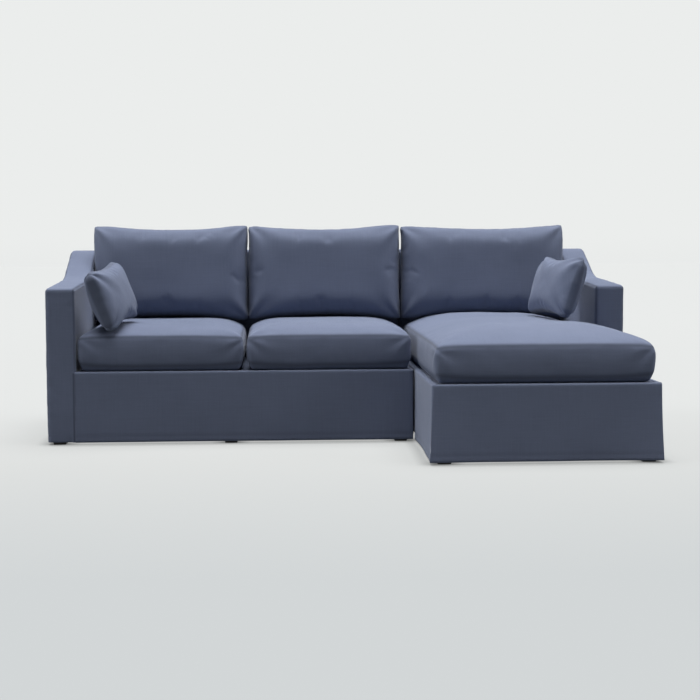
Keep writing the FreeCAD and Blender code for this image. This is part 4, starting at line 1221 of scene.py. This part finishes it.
class SOFA_OT_stage(bpy.types.Operator):
    """Pale floor, pale surroundings, soft lamps and the camera"""
    bl_idname = "sofa.stage"
    bl_label = "Stage"

    def execute(self, context):
        stage = context.scene.sofa_stage
        corners = [(-40, -40, 0), (40, -40, 0), (40, 40, 0), (-40, 40, 0)]
        floor = new_piece("floor", corners, [(0, 1, 2, 3)])
        floor.data.materials.append(floor_material(stage))
        self.lamps(stage)
        self.surroundings(stage)
        self.camera()
        context.scene.view_settings.view_transform = "Standard"
        return {"FINISHED"}

    def lamps(self, stage):
        """Broad lamps so far off that they light the floor evenly."""
        for name, origin, spread, strength in (
                ("top_lamp", (0.05, 0.05, 1.0), 50, stage.top_lamp),
                ("left_lamp", (-1.0, -0.10, 0.42), 30, stage.left_lamp),
                ("right_lamp", (1.0, -0.36, 0.66), 30, stage.right_lamp)):
            data = bpy.data.lights.new(name, "SUN")
            data.angle = math.radians(spread)
            data.energy = strength
            lamp = add_object(name, data)
            lamp.rotation_euler = Vector(origin).to_track_quat("Z", "Y").to_euler()

    def surroundings(self, stage):
        """Seen straight on they are pale, a little darker at the horizon; their light is weak."""
        world = bpy.data.worlds.new("pale_room")
        world.use_nodes = True
        tree = world.node_tree
        seen = tree.nodes["Background"]
        weak = node_at(tree.nodes, "ShaderNodeBackground", 0, -200)
        set_inputs(weak, {"Color": (0.93, 0.96, 1.0, 1.0), "Strength": stage.ambient})
        coords = node_at(tree.nodes, "ShaderNodeTexCoord", -900, 0).outputs["Generated"]
        split = node_at(tree.nodes, "ShaderNodeSeparateXYZ", -700, 0)
        tree.links.new(coords, split.inputs[0])
        ramp = node_at(tree.nodes, "ShaderNodeMapRange", -500, 0)
        set_inputs(ramp, {"From Min": -0.15, "From Max": 0.0})
        tree.links.new(split.outputs["Z"], ramp.inputs["Value"])
        tree.links.new(colour_mix(tree, ramp.outputs["Result"], stage.lower, stage.upper, -250, 0),
                       seen.inputs["Color"])
        mix = node_at(tree.nodes, "ShaderNodeMixShader", 250, 0)
        tree.links.new(seen_directly(tree, -300, 300), mix.inputs["Fac"])
        tree.links.new(weak.outputs["Background"], mix.inputs[1])
        tree.links.new(seen.outputs["Background"], mix.inputs[2])
        tree.links.new(mix.outputs["Shader"], tree.nodes["World Output"].inputs["Surface"])
        bpy.context.scene.world = world

    def camera(self):
        """Placed from the photograph's straight edges, level with the top of the cushions."""
        data = bpy.data.cameras.new("front_view")
        data.sensor_width = 36.0
        data.lens = 75.2
        data.clip_end = 60
        yaw, pitch, roll = (math.radians(a) for a in (3.016, 4.423, 0.224))
        across = Vector((math.cos(yaw), -math.sin(yaw), 0))
        ahead = Vector((math.sin(yaw), math.cos(yaw), 0))
        forward = ahead * math.cos(pitch) - Vector((0, 0, math.sin(pitch)))
        up = ahead * math.sin(pitch) + Vector((0, 0, math.cos(pitch)))
        right = across * math.cos(roll) - up * math.sin(roll)
        above = across * math.sin(roll) + up * math.cos(roll)
        eye = (-0.2668, -6.1806, 0.8539)
        camera = add_object("front_view", data)
        camera.matrix_world = Matrix([(right[k], above[k], -forward[k], eye[k]) for k in range(3)]
                                     + [(0, 0, 0, 1)])
        bpy.context.scene.camera = camera


def seen_directly(tree, x, y):
    """1 where the camera, a reflection or a clear material looks at the surface."""
    path = node_at(tree.nodes, "ShaderNodeLightPath", x, y)
    both = math_node(tree, "MAXIMUM", path.outputs["Is Camera Ray"],
                     path.outputs["Is Glossy Ray"], x + 200, y)
    return math_node(tree, "MAXIMUM", both, path.outputs["Is Transmission Ray"], x + 400, y)


def floor_material(stage):
    """Pale floor: part of its colour is its own, darkened by painted shade under and beside the sofa, and
    the lit part takes the sofa's shadow.
    """
    material, tree, shader = new_material("pale_floor")
    set_inputs(shader, {"Roughness": 0.95, "Specular IOR Level": 0.0})
    coords = node_at(tree.nodes, "ShaderNodeTexCoord", -1100, 0).outputs["Object"]
    split = node_at(tree.nodes, "ShaderNodeSeparateXYZ", -900, 0)
    tree.links.new(coords, split.inputs[0])
    place = node_at(tree.nodes, "ShaderNodeMapRange", -700, 0)
    set_inputs(place, {"From Min": -4.0, "From Max": 8.0})
    tree.links.new(split.outputs["Y"], place.inputs["Value"])
    ramp = node_at(tree.nodes, "ShaderNodeValToRGB", -500, 0)
    stops = ramp.color_ramp.elements
    stops[0].position, stops[0].color = 0.12, (*stage.near, 1.0)
    stops[1].position, stops[1].color = 1.0, (*(0.965 * c for c in stage.upper), 1.0)
    for position, colour in ((0.28, stage.floor), (0.42, stage.behind)):
        stop = stops.new(position)
        stop.color = (*colour, 1.0)
    tree.links.new(place.outputs["Result"], ramp.inputs["Fac"])
    lit = colour_mix(tree, stage.shadow, (0.0, 0.0, 0.0), ramp.outputs["Color"], -150, 0)
    tree.links.new(lit, shader.inputs["Base Color"])
    own = node_at(tree.nodes, "ShaderNodeEmission", 50, 300)
    tree.links.new(ramp.outputs["Color"], own.inputs["Color"])
    strength = math_node(tree, "MULTIPLY", seen_directly(tree, -700, 500),
                         1.0 - stage.shadow * stage.floor_light, -100, 400)
    # Ambient occlusion darkens the floor's own colour where the sofa is close: painted shade.
    painted_shade_under_sofa = node_at(tree.nodes, "ShaderNodeAmbientOcclusion", -400, 700)
    set_inputs(painted_shade_under_sofa, {"Distance": 0.06})
    strength = math_node(tree, "MULTIPLY", strength, painted_shade_under_sofa.outputs["AO"], 50, 500)
    tree.links.new(strength, own.inputs["Strength"])
    both = node_at(tree.nodes, "ShaderNodeAddShader", 350, 100)
    tree.links.new(shader.outputs["BSDF"], both.inputs[0])
    tree.links.new(own.outputs["Emission"], both.inputs[1])
    tree.links.new(both.outputs["Shader"], tree.nodes["Material Output"].inputs["Surface"])
    return material


STEPS = (SOFA_OT_stage, SOFA_OT_frame_finishes, SOFA_OT_soft_fillings, SOFA_OT_base_covers,
         SOFA_OT_arms, SOFA_OT_backs, SOFA_OT_seat_cushions, SOFA_OT_back_cushions,
         SOFA_OT_side_pillows)


class SOFA_PT_panel(bpy.types.Panel):
    """Sizes, colours and the steps that dress the sofa"""
    bl_idname = "SOFA_PT_panel"
    bl_label = "Sectional sofa"
    bl_space_type = "VIEW_3D"
    bl_region_type = "UI"
    bl_category = "Sofa"

    def draw(self, context):
        for step in STEPS:
            self.layout.operator(step.bl_idname)
        for name, group in SETTINGS.items():
            box = self.layout.box()
            box.label(text=group.__doc__)
            for prop in group.__annotations__:
                box.prop(getattr(context.scene, name), prop)


def register():
    for cls in (*SETTINGS.values(), *STEPS, SOFA_PT_panel):
        bpy.utils.register_class(cls)
    for name, group in SETTINGS.items():
        setattr(bpy.types.Scene, name, PointerProperty(type=group))


def unregister():
    for name in SETTINGS:
        delattr(bpy.types.Scene, name)
    for cls in reversed((*SETTINGS.values(), *STEPS, SOFA_PT_panel)):
        bpy.utils.unregister_class(cls)


def main():
    register()
    bpy.ops.sofa.stage()
    bpy.ops.sofa.frame_finishes()
    bpy.ops.sofa.soft_fillings()
    bpy.ops.sofa.base_covers()
    bpy.ops.sofa.arms()
    bpy.ops.sofa.backs()
    bpy.ops.sofa.seat_cushions()
    bpy.ops.sofa.back_cushions()
    bpy.ops.sofa.side_pillows()


if __name__ == "__main__":
    main()
